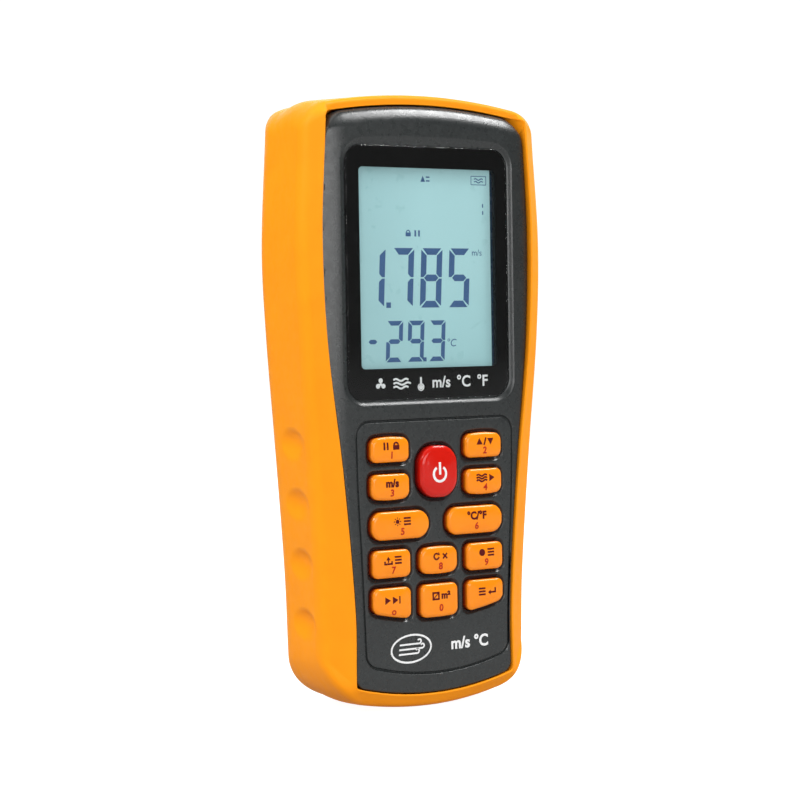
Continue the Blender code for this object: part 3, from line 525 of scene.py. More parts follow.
class Look(Tree):
    """A material's node tree. Feature sizes are in millimetres."""

    def __init__(self, name):
        self.material = bpy.data.materials.new(name)
        self.material.use_nodes = True
        super().__init__(self.material.node_tree)
        self.shader = self.nodes["Principled BSDF"]
        self.place = self.add("TexCoord").outputs["Object"]

    def set(self, **values):
        for name, value in values.items():
            socket = name.replace("_", " ").title().replace("Ior", "IOR")
            self.feed(self.shader.inputs[socket], value)

    def noise(self, size, detail=2.0):
        inputs = {"Scale": 1 / (size * MM), "Detail": detail, "Vector": self.place}
        return self.add("TexNoise", inputs).outputs["Fac"]

    def along(self, axis, low, high):
        """How far a place has come from low to high along an axis, from 0 to 1."""
        parts = self.add("SeparateXYZ", {0: self.place})
        return self.remap(parts.outputs[axis], low * MM, high * MM, 0.0, 1.0)

    def mix(self, factor, first, second):
        """Mixes two colours, each a tuple or another node's output."""
        node = self.add("Mix")
        node.data_type = "RGBA"
        self.feed(node.inputs["Factor"], factor)
        colours = [socket for socket in node.inputs if socket.type == "RGBA"]
        for socket, colour in zip(colours, (first, second)):
            self.feed(socket, (*colour, 1.0) if isinstance(colour, tuple) else colour)
        return [socket for socket in node.outputs if socket.type == "RGBA"][0]

    def mottled(self, colour, amount, size):
        """The colour, a little darker and lighter from place to place."""
        dark = tuple(c * (1 - amount) for c in colour)
        light = tuple(min(c * (1 + amount), 1.0) for c in colour)
        spread = self.remap(self.noise(size, 3.0), 0.3, 0.7, 0.0, 1.0)
        return self.mix(spread, dark, light)

    def worn(self, colour, light, amount):
        """The colour, paler along the edges that hands rub."""
        pointiness = self.add("NewGeometry").outputs["Pointiness"]
        return self.mix(self.remap(pointiness, 0.52, 0.62, 0.0, amount), colour, light)

    def rough(self, low, high, size):
        self.set(roughness=self.remap(self.noise(size, 4.0), 0.3, 0.7, low, high))

    def bump(self, *heights):
        """Adds surface relief from (height output, strength, distance in mm) triples."""
        normal = {}
        for height, strength, distance in heights:
            inputs = {"Strength": strength, "Distance": distance * MM, "Height": height, **normal}
            normal = {"Normal": self.add("Bump", inputs).outputs["Normal"]}
        self.set(normal=normal["Normal"])


def plastic(name, colour, rough, amount=0.05, grain=0.25, relief=0.15, wear=None, coat=0.0,
            shine=0.5, glint_speckle=0.0, painted_base_shade=None):
    """Moulded plastic: colour variation, a fine grain, uneven gloss and slightly rubbed edges. It
    may also carry painted shade towards its back and pale specks that are partly painted glints.
    """
    look = Look(name)
    base = look.mottled(colour, amount, 9.0)
    if wear:
        base = look.worn(base, wear, 0.25)
    # painted shade: the colour darkens towards the back, so the keys' walls look shaded where they
    # sink into their dishes
    if painted_base_shade:
        base = look.mix(look.along("Y", FRONT_Y - 0.9, FRONT_Y + 0.5), base, painted_base_shade)
    # pale specks: partly the grain's own tone and partly painted glints of its texture
    if glint_speckle:
        glint_spots = look.remap(look.noise(grain, 3.0), 0.5, 0.75, 0.0, glint_speckle)
        base = look.mix(glint_spots, base, tuple(2.4 * c for c in colour))
    look.rough(*rough, 2.2)
    look.bump((look.noise(12.0, 1.0), 0.25, 0.05), (look.noise(grain, 3.0), relief, 0.05))
    look.set(base_color=base, coat_weight=coat, coat_roughness=0.08, specular_ior_level=shine)
    return look.material


def metal(name, colour, rough, brushed=0.3):
    look = Look(name)
    look.rough(*rough, 0.8)
    look.bump((look.noise(brushed, 3.0), 0.2, 0.02))
    look.set(base_color=look.mottled(colour, 0.08, 1.5), metallic=1.0)
    return look.material


def ink(name, colour, rough=(0.45, 0.6)):
    """Printing ink, with slightly uneven cover."""
    look = Look(name)
    look.rough(*rough, 0.5)
    look.bump((look.noise(0.15, 2.0), 0.1, 0.01))
    look.set(base_color=look.mottled(colour, 0.06, 0.4), specular_ior_level=0.15)
    return look.material


def lens_look():
    """Clear glossy plastic: it shows what is behind it and mirrors what is in front."""
    look = Look("lens_clear")
    look.nodes.remove(look.shader)
    steep = look.add("Math", {0: look.add("LayerWeight").outputs["Facing"], 1: 5.0})
    steep.operation = "POWER"
    mirrored = look.remap(steep.outputs[0], 0.0, 1.0, 0.034, 1.0)
    smudges = look.remap(look.noise(6.0, 4.0), 0.35, 0.75, 0.05, 0.12)
    clear = look.add("BsdfTransparent", {"Color": (0.96, 0.97, 0.97, 1.0)})
    gloss = look.add("BsdfGlossy", {"Roughness": smudges})
    look.mix_shaders(mirrored, clear, gloss, "Material Output")
    return look.material


def painted_glow_lcd_look():
    """The liquid-crystal glass: pale blue-green, with a painted glow from its emission and painted
    shade that darkens it towards its left side and its bottom.
    """
    look = Look("lcd_glass")
    shade_fade_upward = look.along("Z", LCD_BOX[0].z, middle_of(LCD_BOX).z)
    across = look.along("X", -WINDOW_HALF_WIDTH, 0.0)
    colour = look.mix(across, LCD_LEFT_SHADE_COLOUR, look.mix(shade_fade_upward, LCD_LOW_SHADE_COLOUR, LCD_COLOUR))
    # painted glow from the emission, and painted shade in the darker colours towards the left and
    # the bottom
    look.set(base_color=colour, emission_color=colour, emission_strength=LCD_PAINTED_GLOW)
    look.rough(0.25, 0.4, 5.0)
    look.bump((look.noise(0.3, 1.0), 0.03, 0.01))
    return look.material


ORANGE = (1.0, 0.32, 0.006)
PALE_ORANGE = (1.0, 0.40, 0.03)
KEY_ORANGE = (1.0, 0.27, 0.004)
# a darker colour for the painted shade on the lower walls of the orange keys
KEY_BASE_SHADE_ORANGE = (0.35, 0.03, 0.002)
RED = (0.62, 0.010, 0.004)
# a darker colour for the painted shade on the lower walls of the power key
POWER_BASE_SHADE_RED = (0.25, 0.004, 0.003)
DARK_GREY = (0.019, 0.022, 0.022)
# the display's colour, two darker colours for its painted shade, and the strength of its painted
# glow
LCD_COLOUR = (0.36, 0.58, 0.60)
LCD_LOW_SHADE_COLOUR = (0.31, 0.53, 0.55)
LCD_LEFT_SHADE_COLOUR = (0.30, 0.50, 0.52)
LCD_PAINTED_GLOW = 0.31
INK_BLUE = (0.07, 0.14, 0.30)
MAROON = (0.10, 0.006, 0.006)
PALE_RED = (0.48, 0.02, 0.008)
WHITE = (0.85, 0.86, 0.86)

CASE_LOOK = plastic("case_orange", ORANGE, (0.42, 0.56), 0.03, 0.35, 0.10, PALE_ORANGE, shine=0.12)
# the face's pale specks are partly painted glints
FACE_LOOK = plastic("face_grey", DARK_GREY, (0.25, 0.33), 0.08, 0.45, 0.6, shine=0.6, glint_speckle=0.6)
KEY_LOOK = plastic("key_orange", KEY_ORANGE, (0.16, 0.24), 0.03, 0.5, 0.04, coat=0.25, shine=0.25,
                   painted_base_shade=KEY_BASE_SHADE_ORANGE)
POWER_LOOK = plastic("power_red", RED, (0.12, 0.2), 0.03, 0.5, 0.03, coat=0.3, shine=0.2,
                     painted_base_shade=POWER_BASE_SHADE_RED)
BLACK_LOOK = plastic("black_plastic", (0.015, 0.015, 0.016), (0.35, 0.55), 0.1, 0.3, 0.3)
BORDER_LOOK = plastic("lens_border", (0.003, 0.003, 0.003), (0.3, 0.4), 0.1, 0.3, 0.05, shine=0.05)
LENS_LOOK = lens_look()
LCD_GLOW_LOOK = painted_glow_lcd_look()
MARGIN_LOOK = plastic("lcd_margin", (0.03, 0.06, 0.10), (0.2, 0.3), 0.1, 0.3, 0.05)
SEGMENT_LOOK = ink("lcd_ink", INK_BLUE, (0.3, 0.4))
MAROON_LOOK = ink("maroon_print", MAROON)
PALE_RED_LOOK = ink("red_print", PALE_RED)
WHITE_LOOK = ink("white_print", WHITE)
STEEL_LOOK = metal("screw_steel", (0.55, 0.55, 0.56), (0.25, 0.4))
BARE_LOOK = metal("bare_metal", (0.7, 0.7, 0.71), (0.2, 0.35))
BRASS_LOOK = metal("brass", (0.72, 0.50, 0.22), (0.22, 0.38))
GOLD_LOOK = metal("contact_gold", (0.9, 0.65, 0.25), (0.15, 0.25))


# Case


def scalloped(depth, height):
    """How far the side wall is pressed in by a finger scallop: crisp above, fading out below."""
    u = (depth - SCALLOP_PLACE) / SCALLOP_HALF_DEPTH
    pressed = 0.0
    for middle in SCALLOP_HEIGHTS:
        v = (height - middle) / SCALLOP_HALF_HEIGHT
        inside = 1 - u * u - v * v
        if inside > 0:
            upper = (v + 1) / 2
            power = SCALLOP_LOWER_POWER + (SCALLOP_UPPER_POWER - SCALLOP_LOWER_POWER) * upper
            share = SCALLOP_LOWER_SHARE + (1 - SCALLOP_LOWER_SHARE) * upper
            pressed = max(pressed, SCALLOP_CUT * inside**power * share)
    return pressed


def bevel_rings(lip, outer):
    """The rim's bevel out to the ridge and round it. The ridge lies deeper where it is wider."""
    rings = [[] for _ in range(len(BEVEL_SHARES) + RIDGE_STEPS)]
    for near, far in zip(lip, outer):
        width = (far - near).length
        start = rim_depth(near)
        full = ridge_depth(far, width) - start
        most = 1 - RIDGE_ROUND / (width + RIDGE_ROUND)
        path = []
        for part in BEVEL_SHARES:
            share = most * part
            path.append((share, start + full * share * min(1.0, BEVEL_START + share * BEVEL_GAIN)))
        for i in range(1, RIDGE_STEPS + 1):
            t = i / RIDGE_STEPS
            share = (1 - t) ** 2 * most + 1 - (1 - t) ** 2
            path.append((share, start + full * share + RIDGE_ROUND * t * t))
        for row, (share, depth) in zip(rings, path):
            place = near.lerp(far, share)
            row.append(at(place.x, depth, place.y))
    return rings


def wall_rings(ridge, start):
    """The side walls: finger scallops are pressed into them, and both their ends swell."""
    rings = []
    for i in range(1, WALL_STEPS + 1):
        places = []
        for near, far in zip(ridge, start):
            place = near.lerp(far, i / WALL_STEPS)
            x, depth, height = place.x / MM, place.y / MM - FRONT_Y, place.z / MM
            if abs(x) > SCALLOP_LEAST_X:
                place.x -= math.copysign(scalloped(depth, height) * MM, x)
            swell = math.sin(math.pi * i / WALL_STEPS) * (x / BULGE_SIDE) ** 2 * MM
            place.z += BULGE * swell * eased((height - TOP_BULGE_FROM) / BULGE_TURN)
            place.z -= BULGE * swell * eased((BASE_BULGE_FROM - height) / BULGE_TURN)
            places.append(place)
        rings.append(places)
    return rings


def make_shell():
    """The orange case, from its inside, over the rim and the walls, round to its back."""
    side_inset = DRAFT * (BACK_START - RIDGE_DEPTH)
    inner_fillet = BACK_FILLET - WALL
    rings = []
    for drawn, up in reversed(quarter(6)):
        outline = case_outline(-WALL, side_inset + inner_fillet * drawn)
        rings.append(ring(outline, BACK_START + inner_fillet * up))
    rings.append(ring(case_outline(-WALL - 0.2), RIDGE_DEPTH + 1.5))
    rings.append(ring(face_outline(GAP), 3.4, rolled=True))
    for drawn, up in quarter(4):
        lip = lip_outline(GAP + LIP_SOFT * drawn)
        rings.append([at(p.x, rim_depth(p) + LIP_SOFT * (1 - up), p.y) for p in lip])
    rings += bevel_rings(lip_outline(GAP + LIP_SOFT), case_outline(0.0))
    back = ring(case_outline(0.0, side_inset, BACK_TOP_REACH), BACK_START)
    rings += wall_rings(rings[-1], back)
    for drawn, up in quarter(16, 1):
        outline = case_outline(0.0, side_inset + BACK_FILLET * drawn, BACK_TOP_REACH)
        rings.append(ring(outline, BACK_START + BACK_FILLET * up))
    bm = bmesh.new()
    loft(bm, rings)
    shell = put("case_shell", bm, CASE_LOOK, "meter", ("rear_tub",), "case_orange", 48)
    cut(shell, "holes", case_holes(), CASE_LOOK)
    even_out(shell)


def door_outline(grow):
    return box_outline(DOOR_BOX[1].x, DOOR_BOX[0].z, DOOR_BOX[1].z, DOOR_REACH, grow)


def bay_outline(grow):
    return box_outline(BAY_HALF_WIDTH, BAY_LOW, BAY_HIGH, BAY_REACH, grow)


def sideways(outline, x, depth):
    """A ring at x from an outline whose own x runs along depth, with its middle at a depth."""
    return [at(x, depth + p.x, p.y) for p in outline]


def case_holes():
    """Cuts for the door, the battery, the screws, the insert and the two sockets."""
    bm = bmesh.new()
    seat = CASE_DEPTH - DOOR_THICKNESS - GAP
    rings = [ring(bay_outline(0.0), BACK_INSIDE - 3.0), ring(bay_outline(0.0), seat),
             ring(door_outline(GAP), seat)]
    rings += [ring(door_outline(GAP + HOLE_SOFT * drawn), CASE_DEPTH - HOLE_SOFT * (1 - up))
              for drawn, up in quarter(4, 1)]
    rings.append(ring(door_outline(GAP + HOLE_SOFT), CASE_DEPTH + CUT_PAST))
    loft(bm, rings)
    for name in CASE_SCREWS:
        place = middle_of(span(name))
        head = circle(place.x, place.z, SCREW_HEAD_RADIUS + GAP)
        add_prism(bm, head, SCREW_POCKET_FLOOR, CASE_DEPTH + CUT_PAST)
    insert, insert_radius = middle_of(INSERT_BOX), radius_of(INSERT_BOX)
    add_flare(bm, lambda grow: circle(insert.x, insert.z, insert_radius + GAP + grow),
              BACK_INSIDE - 2.0, CASE_DEPTH, HOLE_SOFT)
    sensor, radius = middle_of(SENSOR_BOX), radius_of(SENSOR_BOX) + GAP
    low, bend, high = SENSOR_BOX[0].z + 4.0, CASE_HEIGHT - 0.9, CASE_HEIGHT + 1.5
    profile = [(0, low), (radius, low), (radius, bend), (radius + 1.2, high), (0, high)]
    turned(bm, profile, lambda a, b, along: Vector((sensor.x + a, sensor.y + b, along)) * MM)
    low, high = USB_BOX
    depths = (low.y - FRONT_Y - GAP, high.y - FRONT_Y + GAP)
    slot = box_outline((depths[1] - depths[0]) / 2, low.z - 0.5, high.z + 0.5, 1.2, steps=(2, 6, 2))
    loft(bm, [sideways(slot, x, sum(depths) / 2) for x in (low.x, high.x + 4.0)])
    return bm


def make_bay():
    """The battery's walls, seen when the door is off."""
    outside = BACK_INSIDE + 0.3
    bm = bmesh.new()
    loft(bm, [ring(bay_outline(0.0), BAY_FLOOR), ring(bay_outline(0.0), outside),
              ring(bay_outline(BAY_WALL), outside),
              ring(bay_outline(BAY_WALL), BAY_FLOOR - BAY_WALL)])
    put("battery_bay", bm, CASE_LOOK, "meter", (), "case_orange")


def make_door():
    """The battery door, with a rim inside, grip ridges and an arrow that shows which way is up."""
    inner = CASE_DEPTH - DOOR_THICKNESS
    rings = [ring(bay_outline(grow - GAP), inner + depth) for grow, depth in DOOR_RIM]
    rings += [ring(door_outline(-0.15), inner), ring(door_outline(0.0), inner + 0.15)]
    rings += [ring(door_outline(-DOOR_SOFT * drawn), CASE_DEPTH - DOOR_SOFT * (1 - up))
              for drawn, up in quarter(5)]
    bm = bmesh.new()
    loft(bm, rings)
    door = put("door_panel", bm, CASE_LOOK, "battery_door", ("battery_door",), "case_orange")
    bm = bmesh.new()
    top = DOOR_BOX[1].z + 1.0
    add_flare(bm, lambda grow: circle(0.0, top, 6.0 + grow), CASE_DEPTH - 1.2, CASE_DEPTH, 0.4)
    for i in range(DOOR_GROOVES):
        height = top - 12.0 - DOOR_GROOVE_PITCH * i
        groove = partial(box_outline, 9.0 - 0.35 * i, height - 0.5, height + 0.5, 0.45,
                         steps=(1, 5, 1))
        add_flare(bm, groove, CASE_DEPTH - 0.6, CASE_DEPTH, 0.3)
    low = DOOR_BOX[0].z + 14.0
    arrow = [Vector((x, h + low)) for x, h in ((-4.0, 0.0), (0.0, 5.5), (4.0, 0.0), (0.0, 1.6))]
    add_prism(bm, arrow, CASE_DEPTH - 0.4, CASE_DEPTH + CUT_PAST)
    cut(door, "grip", bm, CASE_LOOK)
    even_out(door)


# Front cover


def moat_outline(grow):
    """The dish that the lens lies in. Its upper edge bows up in the middle."""
    low, high = LENS_BOX
    share = min(max(grow / MOAT_WIDTH, 0.0), 1.0)
    return box_outline(high.x, low.z, high.z, LENS_REACH, grow, MOAT_BOW * share, LENS_STEPS)


def window_outline(reach, grow):
    return box_outline(WINDOW_HALF_WIDTH, WINDOW_LOW, WINDOW_HIGH, reach, grow, 0.0, LENS_STEPS,
                       WINDOW_X)


def groove_outline(grow):
    half = half_outline(
        lambda height: smooth(GROOVE_SIDE, height) + grow,
        lambda x: GROOVE_TOP + grow,
        lambda x: bowed(GROOVE_BASE - grow, -GROOVE_RADIUS, x),
        GROOVE_TOP_REACH + grow,
        GROOVE_BASE_REACH + grow,
        GROOVE_STEPS,
    )
    return [Vector((p.x + GROOVE_X, p.y)) for p in closed(half)]


def dip(outline, outer, inner, depth):
    """Rings down a soft slope, from outer growth on the face to inner growth at depth."""
    rings = []
    for i in range(DIP_STEPS + 1):
        t = i / DIP_STEPS
        fall = depth * (0.35 * t + 0.65 * eased(t))
        rings.append(ring(outline(outer + (inner - outer) * t), fall))
    return rings


def lens_rings():
    """The slope down to the lens, its seat and the window."""
    rings = dip(moat_outline, MOAT_WIDTH, LENS_GAP, MOAT_DEPTH)
    rings.append(ring(moat_outline(LENS_GAP), LEDGE_DEPTH))
    return rings + [ring(window_outline(1.5, 0.4), depth) for depth in (LEDGE_DEPTH, FACE_BACK)]


def make_face():
    """The grey panel, with its groove, the window and a hole in a soft dish for each key."""
    bm = bmesh.new()
    rings = [ring(face_outline(0.0), FACE_BACK), ring(face_outline(0.0), FACE_THICKNESS)]
    for drawn, up in quarter(8):
        places = []
        for p in face_outline(-EDGE_SOFT * drawn, -EDGE_SOFT_TOP * drawn):
            top = eased((p.y - EDGE_TOP_FROM) / EDGE_TOP_TURN)
            soft = EDGE_SOFT + (EDGE_DROP_TOP - EDGE_SOFT) * top
            places.append(at(p.x, roll(p) + soft * (1 - up), p.y))
        rings.append(places)
    for inset in ROLL_INSETS:
        rings.append(ring(face_outline(-ROLL_SIDE_INSET, -inset), 0.0, rolled=True))
    back, front = add_rows(bm, rings)
    lens_front, lens_back = add_rows(bm, lens_rings())
    groove = dip(groove_outline, GROOVE_WIDTH / 2, GROOVE_HALF_FLOOR, GROOVE_DEPTH)
    groove += dip(groove_outline, -GROOVE_WIDTH / 2, -GROOVE_HALF_FLOOR, GROOVE_DEPTH)[::-1]
    groove_out, groove_in = add_rows(bm, groove)
    key_holes = []
    for key in KEYS:
        rings = dip(partial(key_outline, key), KEY_GAP + HALO_WIDTH, KEY_GAP, HALO_DEPTH)
        rings.append(ring(key_outline(key, KEY_GAP), FACE_BACK))
        key_holes.append(add_rows(bm, rings))
    fill(bm, [front, lens_front, groove_out])
    fill(bm, [groove_in] + [first for first, _ in key_holes])
    fill(bm, [back, lens_back] + [last for _, last in key_holes])
    ease_sides(bm)
    face = put("face_panel", bm, FACE_LOOK, "meter", ("front_cover",), "face_grey", 50)
    even_out(face)


def ease_sides(bm):
    """Lets the face fall back a little towards its upper side edges."""
    for i in range(1, EASE_CUTS):
        for sign in (-1, 1):
            x = sign * (EASE_START + EASE_WIDTH * i / EASE_CUTS) * MM
            slice_at(bm, (x, 0, 0), (1, 0, 0), 1e-8)
    for vertex in bm.verts:
        past = (abs(vertex.co.x) / MM - EASE_START) / EASE_WIDTH
        front = vertex.co.y / MM - FRONT_Y < ROLL_BACK + 0.3
        if past > 0 and front:
            vertex.co.y += EASE_BACK * past * past * MM


def slice_at(bm, place, normal, near):
    geometry = bm.verts[:] + bm.edges[:] + bm.faces[:]
    bmesh.ops.bisect_plane(bm, geom=geometry, dist=near, plane_co=place, plane_no=normal)


# Keys


class Key:
    """A key's outline, from its CAD node's box and from how its edges bow and its corners round."""

    def __init__(self, name, top_bow=0.0, base_bow=0.0, side_bow=0.0, outer=2.0, inner=2.0,
                 follows_arc=False):
        low, high = span(name)
        self.name = name
        self.low, self.high = low.z + KEY_FLANGE, high.z - KEY_FLANGE
        if follows_arc:
            self.low = span("area_key")[0].z + KEY_FLANGE
        self.x = (low.x + high.x) / 2
        self.width = high.x - low.x - 2 * KEY_FLANGE
        self.proud = FRONT_Y - low.y
        self.top_bow, self.base_bow, self.side_bow = top_bow, base_bow, side_bow
        self.reaches = (outer, inner) if self.x < 0 else (inner, outer)
        self.follows_arc = follows_arc
        self.middle = (self.low + self.high) / 2
        self.surface = None


KEYS = [
    Key("power_key", 0.9, 0.9, 0.35, 4.3, 4.3),
    Key("hold_key", top_bow=0.6),
    Key("max_min_key", top_bow=0.6),
    Key("unit_key", base_bow=0.6),
    Key("flow_key", base_bow=0.6),
    Key("light_key", side_bow=0.5, outer=2.8, inner=3.5),
    Key("degree_key", side_bow=0.5, outer=3.2, inner=3.0),
    Key("read_key"),
    Key("clear_key", top_bow=0.5, base_bow=0.5, side_bow=0.3),
    Key("record_key"),
    Key("start_key", follows_arc=True),
    Key("area_key", follows_arc=True),
    Key("enter_key", follows_arc=True),
]


def key_edge(peak, bow, half_width, x):
    """A key's upper edge: a parabola, bow higher in the middle than at its ends."""
    return peak - bow * (x / half_width) ** 2


def key_half(key, sign, grow, reach):
    """One half of a key's outline, with x measured from the key's middle."""
    half = key.width / 2
    half_height = (key.high - key.low) / 2

    def side(height):
        return half + grow - key.side_bow * ((height - key.middle) / half_height) ** 2

    def top(x):
        return key_edge(key.high + grow, key.top_bow, half, x)

    def base(x):
        if key.follows_arc:
            return bowed(key.low - grow, -BOTTOM_ROW_RADIUS, key.x + sign * x)
        return -key_edge(grow - key.low, key.base_bow, half, x)

    reach = max(reach + 0.6 * grow, 0.8)
    return half_outline(side, top, base, reach, reach, KEY_STEPS)


def key_outline(key, grow):
    left = key_half(key, -1, grow, key.reaches[0])
    right = key_half(key, 1, grow, key.reaches[1])
    return [Vector((key.x + p.x, p.y)) for p in closed(right, left)]


def make_key(key):
    """A glossy cap: straight sides, a soft shoulder and a slightly domed top."""
    power = key.name == "power_key"
    shoulder, bulge = (1.7, 0.45) if power else (1.15, 0.22)
    start = 0.45 - key.proud + (shoulder - 0.45) * 0.75
    top = bulge - key.proud
    rings = [ring(key_outline(key, grow), depth) for grow, depth in KEY_BODY]
    rings += [ring(key_outline(key, -shoulder * drawn), start + (top - start) * up)
              for drawn, up in quarter(9)]
    rim = key_outline(key, -shoulder)
    middle = Vector((key.x, sum(p.y for p in rim) / len(rim)))
    for share in KEY_DOME_SHARES:
        rings.append(ring([middle.lerp(p, share) for p in rim], top - bulge * (1 - share * share)))
    bm = bmesh.new()
    loft(bm, rings)
    key.surface = BVHTree.FromBMesh(bm)
    look, slot = (POWER_LOOK, "power_red") if power else (KEY_LOOK, "key_orange")
    cap = put(f"cap_{key.name}", bm, look, key.name, (key.name,), slot, 50)
    even_out(cap)


# Prints: flat shapes, given thickness and laid on a surface


def stroke(points, width, joined=False):
    """A band of even width along the points, as one quad for each stretch."""
    places = [Vector(p) for p in points]
    count = len(places)
    sides = []
    for i, place in enumerate(places):
        before = places[i - 1] if i or joined else place
        after = places[(i + 1) % count] if i < count - 1 or joined else place
        first = (place - before).normalized() if (place - before).length else None
        second = (after - place).normalized() if (after - place).length else None
        first, second = first or second, second or first
        along = (first + second).normalized()
        across = Vector((-along.y, along.x))
        reach = width / 2 / max(across.dot(Vector((-first.y, first.x))), 0.5)
        sides.append((place + across * reach, place - across * reach))
    last = count if joined else count - 1
    quads = []
    for i in range(last):
        (a, b), (c, d) = sides[i], sides[(i + 1) % count]
        quads.append([a, b, d, c])
    return quads


def arc(x, height, radius, start, end, steps=24, squash=1.0):
    """Points along an arc, with angles in degrees from +x."""
    found = []
    for i in range(steps + 1):
        a = math.radians(start + (end - start) * i / steps)
        found.append((x + radius * math.cos(a), height + squash * radius * math.sin(a)))
    return found


def loop(x, height, radius, width, squash=1.0, sides=36):
    return stroke(arc(x, height, radius, 0, 360 * (1 - 1 / sides), sides - 1, squash), width, True)


def bar(x0, h0, x1, h1):
    return [[Vector((x0, h0)), Vector((x1, h0)), Vector((x1, h1)), Vector((x0, h1))]]


def polygon(*points):
    return [[Vector(p) for p in points]]


def disc(x, height, radius, sides=24):
    return [circle(x, height, radius, sides)]


def wave(x0, x1, height, swing, width, turns=1.5, steps=20):
    points = []
    for i in range(steps + 1):
        t = i / steps
        points.append((x0 + (x1 - x0) * t, height + swing * math.sin(2 * math.pi * turns * t)))
    return stroke(points, width)


def moved(shapes, x, height, size=1.0, slant=0.0):
    return [[Vector((x + size * (p.x + slant * p.y), height + size * p.y)) for p in corners]
            for corners in shapes]


def words(text, size, x, height, bold=0.0, slant=0.0):
    """The built-in typeface's letters, as faces in (x, height), centred on a place."""
    curve = bpy.data.curves.new("words", "FONT")
    curve.body = text
    curve.size = 1.0
    curve.align_x = "CENTER"
    curve.align_y = "CENTER"
    curve.offset = bold
    curve.shear = slant
    curve.resolution_u = 4
    holder = bpy.data.objects.new("words", curve)
    bpy.context.scene.collection.objects.link(holder)
    bpy.context.view_layer.update()
    graph = bpy.context.evaluated_depsgraph_get()
    mesh = bpy.data.meshes.new_from_object(holder.evaluated_get(graph), depsgraph=graph)
    found = []
    for face in mesh.polygons:
        corners = [mesh.vertices[i].co for i in face.vertices]
        found.append([Vector((x + size * c.x, height + size * c.y)) for c in corners])
    bpy.data.objects.remove(holder)
    bpy.data.curves.remove(curve)
    bpy.data.meshes.remove(mesh)
    return found


def put_print(name, shapes, look, body, depth=0.0, surface=None, lift=0.03, thickness=0.12):
    """Lays flat shapes, as thin pieces, at a depth or on a key's top."""
    bm = bmesh.new()
    for corners in shapes:
        if signed_area(corners) < 0:
            corners = corners[::-1]
        bm.faces.new([bm.verts.new((p.x, 0.0, p.y)) for p in corners])
    bmesh.ops.remove_doubles(bm, verts=bm.verts, dist=0.0005)
    bmesh.ops.dissolve_degenerate(bm, edges=bm.edges, dist=0.0005)
    if surface:
        slice_up(bm, 0.6)
    for vertex in bm.verts:
        x, height = vertex.co.x, vertex.co.z
        rest = depth
        if surface:
            hit = surface.ray_cast(at(x, -20.0, height), Vector((0, 1, 0)))[0]
            rest = hit.y / MM - FRONT_Y if hit else depth
        vertex.co = at(x, rest - lift, height)
    made = bmesh.ops.extrude_face_region(bm, geom=list(bm.faces))
    raised = [e for e in made["geom"] if isinstance(e, bmesh.types.BMVert)]
    bmesh.ops.translate(bm, verts=raised, vec=Vector((0, thickness * MM, 0)))
    return put(name, bm, look, body, sharp=30)


def slice_up(bm, pitch):
    """Cuts flat shapes along a grid, so that they can follow a curved surface."""
    for axis in (0, 2):
        places = [v.co[axis] for v in bm.verts]
        normal = [0.0, 0.0, 0.0]
        normal[axis] = 1.0
        for i in range(math.ceil(min(places) / pitch), math.ceil(max(places) / pitch)):
            slice_at(bm, [n * i * pitch for n in normal], normal, 1e-5)


def signed_area(corners):
    return sum(a.x * b.y - b.x * a.y for a, b in zip(corners, corners[1:] + corners[:1]))


def side_by_side(*marks):
    """Pictograms beside one another, from pairs of shapes and x."""
    return [corners for shapes, x in marks for corners in moved(shapes, x, 0.0)]


